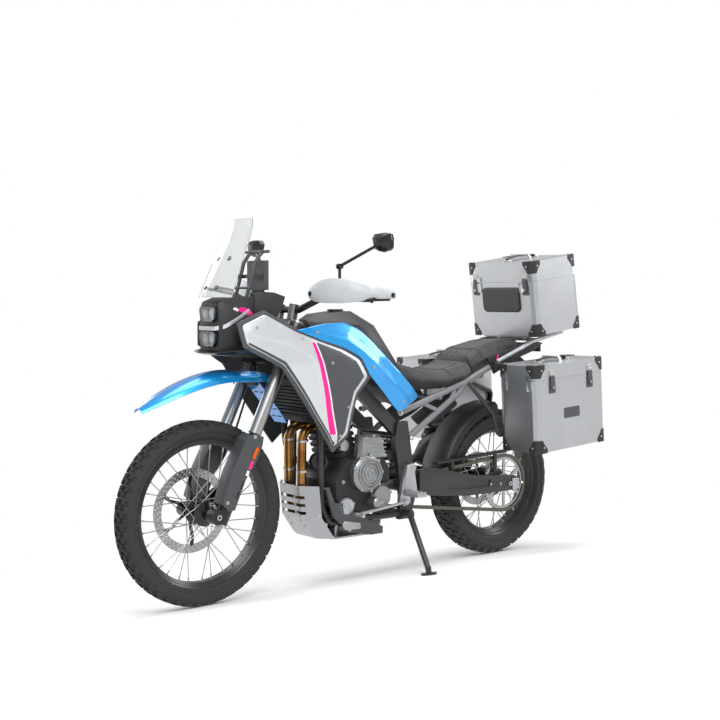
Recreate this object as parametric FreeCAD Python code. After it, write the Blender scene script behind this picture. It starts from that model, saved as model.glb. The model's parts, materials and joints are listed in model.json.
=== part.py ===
import FreeCAD, Part
import math
import os

# Adventure motorcycle with three aluminium cases, leaning on its side stand.
# Modelled upright: X forward, Y left, Z up, with the ground at zero.
# The finished pieces are then leaned over, set on the ground and centred.

# Stance, in millimetres and degrees
wheelbase = 1505.0
lean_angle = 9.5
rake_angle = 26.0
head_x = 393.0
head_z = 960.0
fork_set = 28.3
axle_lead = 26.5
fork_spread = 105.0

# Fits and facets
touch = 0.3
running = 0.05
seam = 3.0
overrun = 20.0
flat_limit = 0.001
tube_sides = 8
bend_step = 30.0
full_turn = 360.0
hub_sides = 16
clamp_sides = 14

# Front wheel
front_radius = 348.0
front_tyre_width = 92.0
front_bead_radius = 267.0
front_rim_opening = 255.0
front_rim_width = 60.0
front_lugs = 26
front_hub_radius = 24.0
front_flange_radius = 46.0
front_flange_spread = 33.0
front_disc_radius = 160.0
front_disc_offset = 66.0

# Rear wheel
rear_radius = 326.5
rear_tyre_width = 142.0
rear_bead_radius = 228.6
rear_rim_opening = 216.0
rear_rim_width = 98.0
rear_lugs = 24
rear_hub_radius = 36.0
rear_flange_radius = 62.0
rear_flange_spread = 36.0
rear_disc_radius = 120.0
rear_disc_offset = 76.0

# Tyres, spokes, hubs and discs
lug_depth = 9.0
rim_lip = 9.0
rim_wall = 5.0
spoke_radius = 2.0
spoke_count = 32
spoke_swing = 68.0
axle_radius = 10.0
axle_bore = 5.0
axle_end = 28.0
hub_flange_wall = 6.0
disc_thickness = 5.0
disc_band = 32.0
disc_sides = 30
spider_width = 14.0
spider_arms = 6
caliper_length = 84.0
caliper_inner = 24.0
caliper_outer = 22.0
pad_gap = 1.0

# Chain drive
chain_pitch = 15.875
rear_teeth = 48
drive_teeth = 16
chain_offset = 92.0
chain_width = 17.0
chain_height = 14.0
sprocket_wall = 6.0
drive_x = -20.0
drive_z = 345.0

# Fork, clamps and guards
fork_tube_radius = 25.0
fork_leg_radius = 20.5
fork_foot_radius = 28.0
fork_seal_z = 640.0
fork_foot_z = 400.0
fork_top_z = 1052.0
clamp_low_z = 895.0
clamp_high_z = 1030.0
clamp_height = 32.0
clamp_wall = 9.0
yoke_depth = 62.0
stem_radius = 17.0
head_tube_radius = 29.0
guard_half = 31.0
guard_z = 590.0
guard_length = 84.0
guard_height = 305.0
guard_low = 250.0
guard_back = 32.0

# Handlebar, controls, handguards and mirrors
bar_radius = 13.0
grip_radius = 17.0
grip_length = 125.0
bar_x = 352.0
bar_z = 1098.0
bar_rise = 44.0
bar_half = 412.0
bar_knee = 190.0
bar_flat = 75.0
bar_sweep = 168.0
bar_bend = 60.0
riser_half = 45.0
riser_radius = 20.0
lever_set = 52.0
perch_reach = 0.28
perch_radius = 20.0
lever_radius = 6.0
handguard_x = 158.0
handguard_y = 200.0
handguard_length = 234.0
handguard_width = 240.0
handguard_low = 1106.0
handguard_height = 104.0
mirror_radius = 6.0
mirror_head_x = 222.0
mirror_head_y = 412.0
mirror_head_z = 1347.0
mirror_ball_z = 1262.0
mirror_reach = 52.0
mirror_depth = 44.0

# Front fender and its rear flap
fender_tip_x = 1008.0
fender_length = 560.0
fender_half = 76.0
fender_top_z = 876.0
fender_wall = 4.0
fender_fall = 42.0
fender_drop = 124.0
flap_half = 56.0

# Main frame
pivot_x = -165.0
pivot_z = 365.0
pivot_half = 128.0
arm_inner = 103.0
arm_wall = 24.0
bridge_height = 66.0
bridge_half = 80.0
frame_half = 100.0
cradle_z = 262.0
frame_tube = 14.0
spar_x = -150.0
spar_z = 560.0
spar_height = 395.0
plate_x = -205.0
plate_z = 240.0
plate_length = 113.0
plate_height = 400.0

# Engine
crank_x = -88.0
crank_z = 252.0
crank_length = 312.0
crank_height = 268.0
crank_half = 84.0
cylinder_x = 112.0
cylinder_half = 88.0
cylinder_length = 104.0
cylinder_tilt = 17.0
cylinder_z = 500.0
cylinder_height = 130.0
fin_count = 5
fin_wall = 5.0
fin_reach = 9.0
head_half = 82.0
head_low_z = 628.0
head_height = 140.0
head_length = 158.0
head_back_x = 95.0
cover_x = 66.0
cover_z = 447.0
cover_radius = 74.0
cover_depth = 44.0
upper_cover_x = -45.0
upper_cover_length = 150.0
upper_cover_z = 498.0
upper_cover_height = 104.0
filter_radius = 22.0
filter_x = 30.0
filter_height = 78.0

# Radiator, exhaust and guards below
radiator_half = 128.0
radiator_depth = 26.0
radiator_height = 166.0
radiator_x = 335.0
radiator_z = 749.0
radiator_tilt = 11.0
radiator_tank = 22.0
slat_count = 9
pipe_radius = 19.0
pipe_bend = 60.0
pipe_x = 320.0
pipe_half = 50.0
pipe_low_z = 228.0
pipe_height = 440.0
muffler_y = 166.0
muffler_half = 40.0
muffler_tall = 58.0
muffler_front_x = -470.0
muffler_length = 410.0
muffler_front_z = 440.0
muffler_rise = 130.0
skid_x = -20.0
skid_z = 180.0
skid_length = 332.0
skid_height = 236.0
skid_half = 122.0
skid_wall = 5.0
skid_nose = 50.0
skid_bend = 66.0
belly_x = -20.0
belly_z = 198.0
belly_length = 305.0
belly_height = 212.0
belly_wall = 12.0

# Bodywork: its half-width is given by shares over a grid of the side view
body_half = 224.0
body_x = -300.0
body_length = 1020.0
body_z = 520.0
body_height = 600.0
panel_wall = 6.0
side_x = 118.0
side_z = 575.0
side_length = 542.0
side_height = 510.0
tank_side_x = -190.0
tank_side_z = 682.0
tank_side_length = 630.0
tank_side_height = 368.0
trim_width = 20.0
tank_x = -150.0
tank_length = 432.0
tank_half = 150.0
tank_low_z = 700.0
tank_height = 391.0
cap_radius = 32.0
cap_height = 7.0

# Cowl, lamps, screen and tower
cowl_x = 556.0
cowl_length = 152.0
cowl_half = 138.0
cowl_z = 905.0
cowl_height = 262.0
beak_x = 505.0
beak_length = 232.0
beak_half = 180.0
beak_z = 948.0
beak_wall = 12.0
lamp_half = 58.0
lamp_height = 60.0
lamp_low_z = 962.0
lamp_high_z = 1054.0
lamp_depth = 24.0
band_radius = 8.0
screen_low_z = 1146.0
screen_height = 296.0
screen_low_half = 116.0
screen_low_x = 724.0
screen_lean = 28.5
screen_wall = 4.0
tower_half = 38.0
tower_radius = 7.0
tower_foot_x = 590.0
tower_top_x = 528.0
tower_top_z = 1330.0
device_bar_half = 82.0
device_end_radius = 6.0
display_half = 58.0
display_height = 112.0
display_depth = 20.0

# Seats and tail
seat_length = 380.0
seat_half = 150.0
seat_z = 735.0
seat_height = 152.0
pillion_length = 345.0
pillion_half = 140.0
pillion_z = 800.0
pillion_height = 152.0
tail_x = -945.0
tail_length = 385.0
tail_z = 815.0
tail_height = 118.0
tail_inner = 134.0
lamp_width = 60.0
mudguard_half = 72.0

# Subframe, rack and pannier racks
rail_x = -118.0
rail_length = 762.0
rail_half = 130.0
rail_z = 572.0
rail_height = 363.0
rail_tube = 13.0
brace_tube = 9.0
rack_tube = 9.0

# Swingarm, shock and guards at the rear
arm_tail = 62.5
arm_gap = 60.0
arm_x = -wheelbase / 2 - arm_tail
arm_length = pivot_x - arm_gap - arm_x
arm_z = 296.0
arm_height = 140.0
shock_radius = 34.0
spring_turns = 5
hugger_half = 78.0
hugger_wall = 4.0
hugger_gap = 18.0

# Side stand
stand_pivot_x = -150.0
stand_pivot_y = 150.0
stand_pivot_z = 262.0
stand_foot_x = -75.0
stand_foot_y = 350.0
stand_radius = 12.0
stand_eye_half = 11.0
stand_pin_radius = 6.0
stand_foot_radius = 32.0
stand_foot_wall = 8.0
stand_fold_out = 0.16
stand_fold_up = 0.12

# Foot controls
hanger_x = -195.0
hanger_z = 296.0
hanger_length = 91.0
hanger_height = 169.0
hanger_wall = 16.0
peg_length = 92.0
peg_width = 52.0
peg_height = 18.0
peg_z = 342.0
shaft_radius = 8.0
lever_reach = 205.0

# Cases
case_wall = 4.0
case_round = 26.0
case_corner_steps = 2
pannier_length = 425.0
pannier_width = 215.0
pannier_depth = 300.0
pannier_lid = 62.0
pannier_inner_y = 226.0
pannier_front_x = -600.0
pannier_low_z = 500.0
pannier_pitch = 3.7
top_length = 290.0
top_width = 400.0
top_depth = 240.0
top_lid = 88.0
top_front_x = -850.0
top_low_z = 972.0
top_pitch = 8.0
lid_gap = 0.6
hinge_out = 6.0
hinge_radius = 5.0
hinge_length = 44.0
hinge_spread = 0.27
plate_wall = 8.0

V = FreeCAD.Vector
origin = V(0, 0, 0)
sideways = V(0, 1, 0)
rake = math.radians(rake_angle)
lean = math.radians(lean_angle)
steer_up = V(-math.sin(rake), 0, math.cos(rake))
ahead = V(math.cos(rake), 0, math.sin(rake))
head_point = V(head_x, 0, head_z)
axle_offset = fork_set + axle_lead
head_drop = (front_radius - head_z - axle_offset * ahead.z) / steer_up.z
front_axle = head_point + steer_up * head_drop + ahead * axle_offset
rear_axle = V(front_axle.x - wheelbase, 0, rear_radius)
plate_inner = arm_inner
swing_half = arm_inner + arm_wall
plate_outer = pivot_half - touch * 10
layer = panel_wall + touch
pieces = {}


def turned(shape, point, axis, degrees):
    copy = shape.copy()
    copy.rotate(point, axis, degrees)
    return copy


def moved(shape, x, y, z):
    copy = shape.copy()
    copy.translate(V(x, y, z))
    return copy


def joined(shapes):
    whole = shapes[0] if len(shapes) == 1 else shapes[0].multiFuse(shapes[1:])
    return whole.removeSplitter()


def seated(shape, *neighbours):
    # The shape cut back to its neighbours, so that it lies against their faces.
    for neighbour in neighbours:
        shape = shape.cut(neighbour)
    return max(shape.Solids, key=lambda solid: solid.Volume)


def other_side(shape):
    return shape.mirror(origin, sideways)


def both_sides(shape):
    return [shape, other_side(shape)]


def box(x0, x1, y0, y1, z0, z1):
    return Part.makeBox(x1 - x0, y1 - y0, z1 - z0, V(x0, y0, z0))


def rod(start, end, radius):
    axis = end - start
    return Part.makeCylinder(radius, axis.Length, start, axis)


def pipe(start, end, radius, bore):
    return rod(start, end, radius).cut(rod(start, end, bore))


def traced(shares, x, z, length, height):
    # Outline points from shares of a length and a height.
    return [(x + length * a, z + height * b) for a, b in shares]


def placed(shares, corner, size):
    return [V(corner.x + size.x * a, corner.y + size.y * b, corner.z + size.z * c)
            for a, b, c in shares]


def prism(ring, reach):
    return Part.Face(Part.makePolygon(ring + ring[:1])).extrude(reach)


def side_plate(outline, y0, y1):
    # A plate whose outline is given as (x, z) points, between two Y planes.
    return prism([V(x, y0, z) for x, z in outline], V(0, y1 - y0, 0))


def front_plate(outline, x0, x1):
    return prism([V(x0, y, z) for y, z in outline], V(x1 - x0, 0, 0))


def top_plate(outline, z0, z1):
    return prism([V(x, y, z0) for x, y in outline], V(0, 0, z1 - z0))


def eased(points, bend):
    # The route with each corner spread over chords tangent to an arc of the given bend.
    route = [points[0]]
    for before, corner, after in zip(points, points[1:], points[2:]):
        into = (corner - before).normalize()
        out = (after - corner).normalize()
        angle = into.getAngle(out)
        steps = max(1, round(math.degrees(angle) / bend_step)) if bend else 0
        side = (out - into * into.dot(out)).normalize()
        start = corner - into * (bend * math.tan(angle / 2))
        if not steps:
            route.append(corner)
        for step in range(steps):
            turn = angle * (step + 0.5) / steps
            radius = bend / math.cos(angle / steps / 2)
            route.append(start + into * (radius * math.sin(turn))
                         + side * (bend - radius * math.cos(turn)))
    return route + [points[-1]]


def tube(points, radius, bend=0, sides=0):
    # A bar with flat sides and mitred joints along the route.
    sides = sides or tube_sides
    route = eased(points, bend)
    runs = [(after - before).normalize() for before, after in zip(route, route[1:])]
    across = runs[0].cross(steer_up if abs(runs[0].z) < abs(ahead.x) else sideways).normalize()
    up = runs[0].cross(across)
    ring = []
    for corner in range(sides):
        turn = 2 * math.pi * (corner + 0.5) / sides
        ring.append(route[0] + across * (radius * math.cos(turn)) + up * (radius * math.sin(turn)))
    rings = [ring]
    for number, run in enumerate(runs):
        place = route[number + 1]
        last = number + 1 == len(runs)
        plane = run if last else (run + runs[number + 1]).normalize()
        ring = [p + run * ((place - p).dot(plane) / run.dot(plane)) for p in ring]
        rings.append(ring)
    return solid_between(rings)


def bar(start, end, radius, sides=0):
    return tube([start, end], radius, 0, sides)


def solid_between(rings, looped=False):
    # A closed solid through rings of equally many corners, made of flat faces.
    faces = []
    if not looped:
        faces = [flat_face(rings[0]), flat_face(rings[-1])]
    for low, high in zip(rings, rings[1:] + rings[:1] if looped else rings[1:]):
        for one, two, three, four in zip(low, low[1:] + low[:1], high[1:] + high[:1], high):
            normal = (two - one).cross(three - one)
            level = abs(normal.dot(four - one)) < flat_limit * max(normal.Length, flat_limit)
            if level:
                faces.append(flat_face([one, two, three, four]))
            else:
                faces += [flat_face([one, two, three]), flat_face([one, three, four])]
    solid = Part.Solid(Part.Shell([face for face in faces if face]))
    if solid.Volume < 0:
        solid.reverse()
    return solid


def flat_face(ring):
    corners = []
    for point in ring:
        if not corners or (point - corners[-1]).Length > flat_limit:
            corners.append(point)
    if (corners[0] - corners[-1]).Length < flat_limit:
        corners.pop()
    return Part.Face(Part.makePolygon(corners + corners[:1])) if len(corners) > 2 else None


def wheel_ring(profile, centre, angle):
    return [V(centre.x + r * math.sin(angle), centre.y + y, centre.z + r * math.cos(angle))
            for r, y in profile]


def turned_ring(profile, centre, sides):
    # A flat-sided body turned about the Y line through the centre; the profile is (radius, y).
    rings = [wheel_ring(profile, centre, 2 * math.pi * step / sides) for step in range(sides)]
    return solid_between(rings, True)


def round_block(steps, centre, sides):
    # Flat-sided body along Y with (radius, y) steps and closed ends.
    rings = []
    for radius, y in steps:
        rings.append([V(centre.x + radius * math.sin(2 * math.pi * (side + 0.5) / sides),
                        centre.y + y,
                        centre.z + radius * math.cos(2 * math.pi * (side + 0.5) / sides))
                      for side in range(sides)])
    return solid_between(rings)


def ring_at(x, points):
    return [V(x, y, z) for y, z in points]


def square_ring(x, y, z, half_y, half_z):
    return ring_at(x, [(y - half_y, z - half_z), (y + half_y, z - half_z),
                       (y + half_y, z + half_z), (y - half_y, z + half_z)])


def section(x, half, low, high, crown_share, foot_share):
    # An eight-cornered cross-section at one X, with wide soft shoulders.
    tall = high - low
    points = [(-half * crown_share, high), (half * crown_share, high),
              (half * 0.9, high - tall * 0.2), (half, high - tall * 0.5),
              (half * foot_share, low), (-half * foot_share, low), (-half, high - tall * 0.5),
              (-half * 0.9, high - tall * 0.2)]
    return ring_at(x, points)


def along(table, x):
    # Value at one X of a table of (x, value) pairs in falling or rising order.
    pairs = sorted(table)
    for (x0, v0), (x1, v1) in zip(pairs, pairs[1:]):
        if x <= x1:
            return v0 + (v1 - v0) * (x - x0) / (x1 - x0)
    return pairs[-1][1]


# Wheels: tyre shares are of the half-width and of the height above the rim
lug_shares = (0.0, 0.42, 0.5, 0.92)
crown_share = 0.42
crown_fall_share = 0.07
shoulder_share = 0.86
shoulder_fall_share = 0.33
belly_share = 0.45


def tyre(centre, radius, width, rim_radius, rim_width, lugs):
    # Carcass with staggered blocks: four sections to each pitch of the tread.
    half = width / 2
    foot = rim_radius + rim_lip + 2 * touch
    belly = foot + (radius - foot) * belly_share
    rings = []
    for pitch in range(lugs):
        for step, share in enumerate(lug_shares):
            crown = radius - half * crown_fall_share - (lug_depth if step > 1 else 0)
            shoulder = radius - half * shoulder_fall_share - (0 if step > 1 else lug_depth)
            right = [(crown, half * crown_share), (shoulder, half * shoulder_share),
                     (belly, half), (foot, rim_width / 2)]
            left = [(r, -y) for r, y in right[::-1]]
            rings.append(wheel_ring(left + right, centre, 2 * math.pi * (pitch + share) / lugs))
    return solid_between(rings, True)


def rim(centre, bead_radius, opening, width):
    half = width / 2
    bead = half - rim_wall
    profile = [
        (bead_radius + rim_lip, half),
        (bead_radius + rim_lip, bead),
        (bead_radius, bead),
        (bead_radius, -bead),
        (bead_radius + rim_lip, -bead),
        (bead_radius + rim_lip, -half),
        (opening, -half * 0.5),
        (opening, half * 0.5),
    ]
    points = [centre + V(0, y, r) for r, y in profile]
    section = Part.Face(Part.makePolygon(points + points[:1]))
    return section.revolve(centre, V(0, 1, 0), full_turn)


def hub(centre, radius, flange, spread, reach_left, reach_right):
    neck = radius * 0.8
    right = [(axle_radius + rim_wall, reach_left), (neck, reach_left), (neck, spread + rim_lip),
             (flange, spread), (flange, spread - hub_flange_wall),
             (radius, spread - hub_flange_wall - rim_lip)]
    left = [(r, -y) for r, y in right[:0:-1]] + [(axle_radius + rim_wall, -reach_right)]
    left[-2] = (neck, -reach_right)
    body = turned_ring(right + left, centre, hub_sides)
    core = rod(centre - V(0, reach_right, 0), centre + V(0, reach_left, 0),
               axle_radius + rim_wall * 1.2)
    bore = rod(centre - V(0, wheelbase, 0), centre + V(0, wheelbase, 0), axle_radius + running)
    return joined([body, core]).cut(bore)


def spokes(centre, flange, spread, opening, rim_width):
    wires = []
    for number in range(spoke_count):
        angle = 2 * math.pi * number / spoke_count
        side = 1 if number % 2 == 0 else -1
        swing = math.radians(spoke_swing) * (1 if number % 4 < 2 else -1)
        inner = flange + spoke_radius + touch
        start = V(inner * math.sin(angle + swing), side * (spread - hub_flange_wall / 2),
                  inner * math.cos(angle + swing)) + centre
        reach = opening - 2 * touch
        end = V(reach * math.sin(angle), side * rim_width * 0.1, reach * math.cos(angle)) + centre
        run = (end - start).normalize()
        across = run.cross(sideways).normalize()
        up = run.cross(across)
        ring = [start + across * spoke_radius, start + up * spoke_radius,
                start - across * spoke_radius, start - up * spoke_radius]
        wires.append(prism(ring, end - start))
    return wires


def wheel_disc(centre, radius, offset, eye):
    # Brake band on a spider whose eye sits on the neck of the hub.
    half = disc_thickness / 2
    inner = radius - disc_band
    band = turned_ring([(inner, offset - half), (radius, offset - half),
                        (radius, offset + half), (inner, offset + half)], centre, disc_sides)
    return joined([band] + spider(centre, inner + disc_thickness, offset, eye))


def spider(centre, reach, offset, eye):
    half = disc_thickness / 2
    outer = eye + spider_width
    ring = turned_ring([(eye, offset - half), (outer, offset - half), (outer, offset + half),
                        (eye, offset + half)], centre, hub_sides)
    arm = box(centre.x - spider_width / 2, centre.x + spider_width / 2, offset - half,
              offset + half, centre.z + eye + half * 2, centre.z + reach)
    return [ring] + [turned(arm, centre, sideways, full_turn * step / spider_arms)
                     for step in range(spider_arms)]


def toothed_plate(centre, teeth, wall):
    # Sprocket blank with pointed teeth about its pitch circle.
    pitch_radius = chain_pitch / 2 / math.sin(math.pi / teeth)
    outer = pitch_radius + chain_height * 0.3
    root = pitch_radius - chain_height * 0.3
    ring = []
    for tooth in range(teeth):
        for share, radius in ((0, root), (0.5, outer)):
            angle = 2 * math.pi * (tooth + share) / teeth
            ring.append(V(centre.x + radius * math.sin(angle), chain_offset - wall / 2,
                          centre.z + radius * math.cos(angle)))
    return prism(ring, V(0, wall, 0)), root, outer


def build_wheels():
    pieces["front_tyre"] = tyre(front_axle, front_radius, front_tyre_width, front_bead_radius,
                                front_rim_width, front_lugs)
    pieces["rear_tyre"] = tyre(rear_axle, rear_radius, rear_tyre_width, rear_bead_radius,
                               rear_rim_width, rear_lugs)
    pieces["front_rim"] = rim(front_axle, front_bead_radius, front_rim_opening, front_rim_width)
    pieces["rear_rim"] = rim(rear_axle, rear_bead_radius, rear_rim_opening, rear_rim_width)
    hub_front = hub(front_axle, front_hub_radius, front_flange_radius, front_flange_spread,
                    front_disc_offset, front_disc_offset + disc_thickness)
    hub_rear = hub(rear_axle, rear_hub_radius, rear_flange_radius, rear_flange_spread,
                   chain_offset + sprocket_wall, rear_disc_offset + disc_thickness)
    wires_front = spokes(front_axle, front_flange_radius, front_flange_spread,
                         front_rim_opening, front_rim_width)
    wires_rear = spokes(rear_axle, rear_flange_radius, rear_flange_spread,
                        rear_rim_opening, rear_rim_width)
    pieces["front_spokes"] = Part.makeCompound([hub_front] + wires_front)
    pieces["rear_spokes"] = Part.makeCompound([hub_rear] + wires_rear)
    pieces["front_disc"] = wheel_disc(front_axle, front_disc_radius, -front_disc_offset,
                                      front_hub_radius * 0.8)
    pieces["rear_disc"] = wheel_disc(rear_axle, rear_disc_radius, -rear_disc_offset,
                                     rear_hub_radius * 0.8)
    plate, root, outer = toothed_plate(rear_axle, rear_teeth, sprocket_wall)
    inner = root - spider_width
    window = bar(rear_axle + V(0, chain_offset - sprocket_wall, 0),
                 rear_axle + V(0, chain_offset + sprocket_wall, 0), inner, disc_sides)
    pieces["rear_sprocket"] = joined([plate.cut(window)] + spider(
        rear_axle, inner + disc_thickness, chain_offset, rear_hub_radius * 0.8))
    reach = V(0, fork_spread + axle_end, 0)
    pieces["front_axle"] = pipe(front_axle + reach, front_axle - reach, axle_radius, axle_bore)
    reach = V(0, swing_half + rim_lip, 0)
    pieces["rear_axle"] = pipe(rear_axle + reach, rear_axle - reach, axle_radius, axle_bore)


def build_chain():
    # Closed loop of links about both sprockets: every second link is the wider one.
    radii = [chain_pitch / 2 / math.sin(math.pi / teeth) for teeth in (drive_teeth, rear_teeth)]
    drive = V(drive_x, 0, drive_z)
    wheel = V(rear_axle.x, 0, rear_axle.z)
    run = wheel - drive
    tilt = math.asin((radii[1] - radii[0]) / run.Length)
    heading = math.atan2(run.z, run.x)
    upper = heading - math.pi / 2 - tilt
    straight = run.Length * math.cos(tilt)
    turns = [math.pi - 2 * tilt, math.pi + 2 * tilt]
    arcs = [radii[0] * turns[0], radii[1] * turns[1]]
    links = 2 * round((2 * straight + sum(arcs)) / chain_pitch / 2)
    step = (2 * straight + sum(arcs)) / links
    rings = []
    for number in range(links):
        way = step * number
        if way < straight:
            normal = upper
            base = drive + V(math.cos(upper), 0, math.sin(upper)) * radii[0]
            base = base + chain_run(drive, wheel, radii, upper) * (way / straight)
        elif way < straight + arcs[1]:
            normal = upper + (way - straight) / radii[1]
            base = wheel + V(math.cos(normal), 0, math.sin(normal)) * radii[1]
        elif way < 2 * straight + arcs[1]:
            normal = upper + turns[1]
            share = (way - straight - arcs[1]) / straight
            base = drive + V(math.cos(normal), 0, math.sin(normal)) * radii[0]
            base = base + chain_run(drive, wheel, radii, normal) * (1 - share)
        else:
            normal = upper + turns[1] + (way - 2 * straight - arcs[1]) / radii[0]
            base = drive + V(math.cos(normal), 0, math.sin(normal)) * radii[0]
        out = V(math.cos(normal), 0, math.sin(normal)) * (chain_height / 2)
        half = V(0, chain_width * (0.5 if number % 2 else 0.38), 0)
        middle = V(0, chain_offset, 0) + base
        rings.append([middle - out - half, middle - out + half, middle + out + half,
                      middle + out - half])
    loop = solid_between(rings, True)
    slot = V(0, sprocket_wall / 2 + pad_gap, 0)
    for centre, radius in ((drive, radii[0]), (wheel, radii[1])):
        middle = centre + V(0, chain_offset, 0)
        loop = loop.cut(bar(middle - slot, middle + slot, radius + chain_height * 0.3 + pad_gap,
                            disc_sides))
    pieces["chain"] = loop


def chain_run(drive, wheel, radii, normal):
    # The straight run between the two sprockets on one side.
    out = V(math.cos(normal), 0, math.sin(normal))
    return (wheel + out * radii[1]) - (drive + out * radii[0])


def fork_at(z, side, back=0.0):
    base = head_point + ahead * (fork_set - back)
    return base + steer_up * ((z - base.z) / steer_up.z) + V(0, side * fork_spread, 0)


def steer_at(z):
    return head_point + steer_up * ((z - head_z) / steer_up.z)


# Chassis: stations of the spars are X and Z shares of the spar box and shares of the half-width
spar_shares = ((0.02, 0.05, 0.99), (0.22, 0.30, 1.07), (0.465, 0.585, 1.13), (0.67, 0.78, 0.88),
               (0.85, 0.93, 0.42))
spar_tall_share = 0.09
spar_wide_share = 0.12
plate_shares = ((0.88, 1.0), (0.4, 1.0), (0.15, 0.57), (0.0, 0.23), (0.27, 0.0), (0.8, 0.0),
                (0.71, 0.23), (0.86, 0.57), (1.0, 0.8))
down_shares = ((0.845, 0.5, 0.915), (0.79, 0.7, 0.77), (0.765, 0.88, 0.48), (0.765, 0.95, 0.1),
               (0.7, 0.95, 0.0))
cradle_shares = ((0.7, 0.95, 0.0), (0.06, 1.1, 0.0))


def spar_stations():
    tall = spar_height * spar_tall_share
    wide = frame_half * spar_wide_share
    length = head_x - spar_x
    return [(spar_x + length * a, frame_half * c, spar_z + spar_height * b, wide, tall)
            for a, b, c in spar_shares]


def spar_top(x):
    return along([(place[0], place[2] + place[4]) for place in spar_stations()], x)


def build_frame():
    shapes = both_sides(solid_between([square_ring(*place) for place in spar_stations()]))
    plate = side_plate(traced(plate_shares, plate_x, plate_z, plate_length, plate_height),
                       plate_inner, plate_outer)
    corner = V(pivot_x, 0, cradle_z)
    size = V(head_x - pivot_x, frame_half, head_z - cradle_z)
    down = tube(placed(down_shares, corner, size), frame_tube, pipe_bend)
    cradle = tube(placed(cradle_shares, corner, size), frame_tube)
    shapes += both_sides(plate) + both_sides(down) + both_sides(cradle)
    first = spar_stations()[0]
    shapes.append(bar(V(first[0] + frame_tube * 2, -frame_half, first[2]),
                      V(first[0] + frame_tube * 2, frame_half, first[2]), frame_tube))
    x = plate_x + plate_length * 0.6
    shapes.append(bar(V(x, -frame_half, cradle_z), V(x, frame_half, cradle_z), frame_tube))
    axis_half = clamp_height / 2 + touch
    low = steer_at(clamp_low_z) + steer_up * axis_half
    high = steer_at(clamp_high_z) - steer_up * axis_half
    head = bar(low, high, head_tube_radius, clamp_sides)
    neck_z = spar_stations()[-1][2]
    neck = solid_between([
        square_ring(spar_stations()[-1][0], 0, neck_z, frame_half * 0.5, spar_height * 0.09),
        square_ring(head_x, 0, head_z, head_tube_radius * 0.6, spar_height * 0.08)])
    stay_end = V(tower_foot_x, 0, cowl_z + cowl_height * 0.5)
    stay = tube([head_point, head_point + ahead * (head_tube_radius * 3), stay_end
                 - V(beak_wall * 2, 0, 0), stay_end], frame_tube * 0.9, head_tube_radius)
    shapes += [head, neck, stay]
    bore = rod(low - steer_up * overrun, high + steer_up * overrun, stem_radius + running)
    pivot = V(pivot_x, 0, pivot_z)
    reach = V(0, pivot_half, 0)
    stand = stand_pivot()
    axis = stand_axis()[0]
    eye = axis * (stand_eye_half + touch)
    root = stand - axis * ((stand.y - plate_outer + seam) / axis.y)
    shapes += [bar(root, stand - eye, stand_radius * 1.4), rod(root, stand + eye * 1.2,
                                                              stand_pin_radius)]
    shapes.append(rod(pivot - reach, pivot + reach, axle_radius))
    for x, z in post_places():
        post = bar(V(x, along([(p[0], p[1]) for p in spar_stations()], x), z),
                   V(x, body_half, z), peg_height / 2)
        shapes += both_sides(post.common(bulk(layer * 2 + touch)))
    pieces["main_frame"] = joined(shapes).cut(bore).cut(rod(pivot - reach, pivot + reach,
                                                           axle_bore))


def post_places():
    first, second = spar_stations()[2], spar_stations()[3]
    return [((first[0] + second[0]) / 2, (first[2] + second[2]) / 2), (second[0], second[2])]


def build_fork():
    tubes = []
    legs = []
    for side in (1, -1):
        seal = fork_at(fork_seal_z, side)
        tubes.append(rod(seal, fork_at(fork_top_z, side), fork_tube_radius))
        low = fork_at(fork_foot_z, side)
        ankle = fork_at(front_radius - fork_foot_radius, side)
        legs.append(rod(low, seal - steer_up * touch, fork_leg_radius))
        foot = bar(ankle, low, fork_foot_radius, clamp_sides)
        hold = V(0, fork_foot_radius * 0.8, 0)
        middle = front_axle + V(0, side * fork_spread, 0)
        block = joined([foot, round_block([(fork_foot_radius, -hold.y), (fork_foot_radius, hold.y)],
                                          middle, clamp_sides)])
        legs.append(block.cut(rod(middle - hold * 2, middle + hold * 2, axle_radius + running)))
    grasp = caliper_place(front_axle, front_disc_radius, 285)
    near = -front_disc_offset - caliper_outer - seam * 2
    link = solid_between([
        [V(p.x, y, p.z) for p in (fork_at(fork_foot_z, 0), fork_at(front_radius, 0),
                                  grasp - V(0, 0, disc_band), grasp + V(0, 0, disc_band))]
        for y in (near - disc_thickness * 2, near)])
    legs[-1] = joined([legs[-1], link]).cut(rod(front_axle - V(0, wheelbase, 0),
                                                front_axle, axle_radius + running))
    pieces["fork_tubes"] = joined(tubes)
    pieces["fork_legs"] = Part.makeCompound([joined([leg, foot]) for leg, foot in
                                             (legs[:2], legs[2:])])
    clamps = []
    for z in (clamp_low_z, clamp_high_z):
        middle = steer_at(z) + ahead * (fork_set / 2)
        half = clamp_height / 2
        corners = [middle + ahead * a + steer_up * b for a, b in (
            (-yoke_depth / 2, -half), (yoke_depth / 2, -half), (yoke_depth / 2, half),
            (-yoke_depth / 2, half))]
        clamps.append(prism([p - V(0, fork_spread, 0) for p in corners], V(0, 2 * fork_spread, 0)))
        for side in (1, -1):
            centre = fork_at(z, side)
            clamps.append(bar(centre - steer_up * half, centre + steer_up * half,
                              fork_tube_radius + clamp_wall, clamp_sides))
    clamps.append(rod(steer_at(clamp_low_z), steer_at(clamp_high_z), stem_radius))
    for side in (1, -1):
        foot = steer_at(clamp_high_z) + V(fork_set / 2, side * riser_half, 0)
        clamps.append(bar(foot, V(bar_x, side * riser_half, bar_z + riser_radius), riser_radius))
    yoke = joined(clamps)
    for side in (1, -1):
        yoke = yoke.cut(rod(fork_at(fork_seal_z, side), fork_at(fork_top_z + overrun, side),
                            fork_tube_radius))
    pieces["handlebar"] = bar_tube()
    pieces["fork_clamps"] = yoke.cut(pieces["handlebar"])


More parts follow.
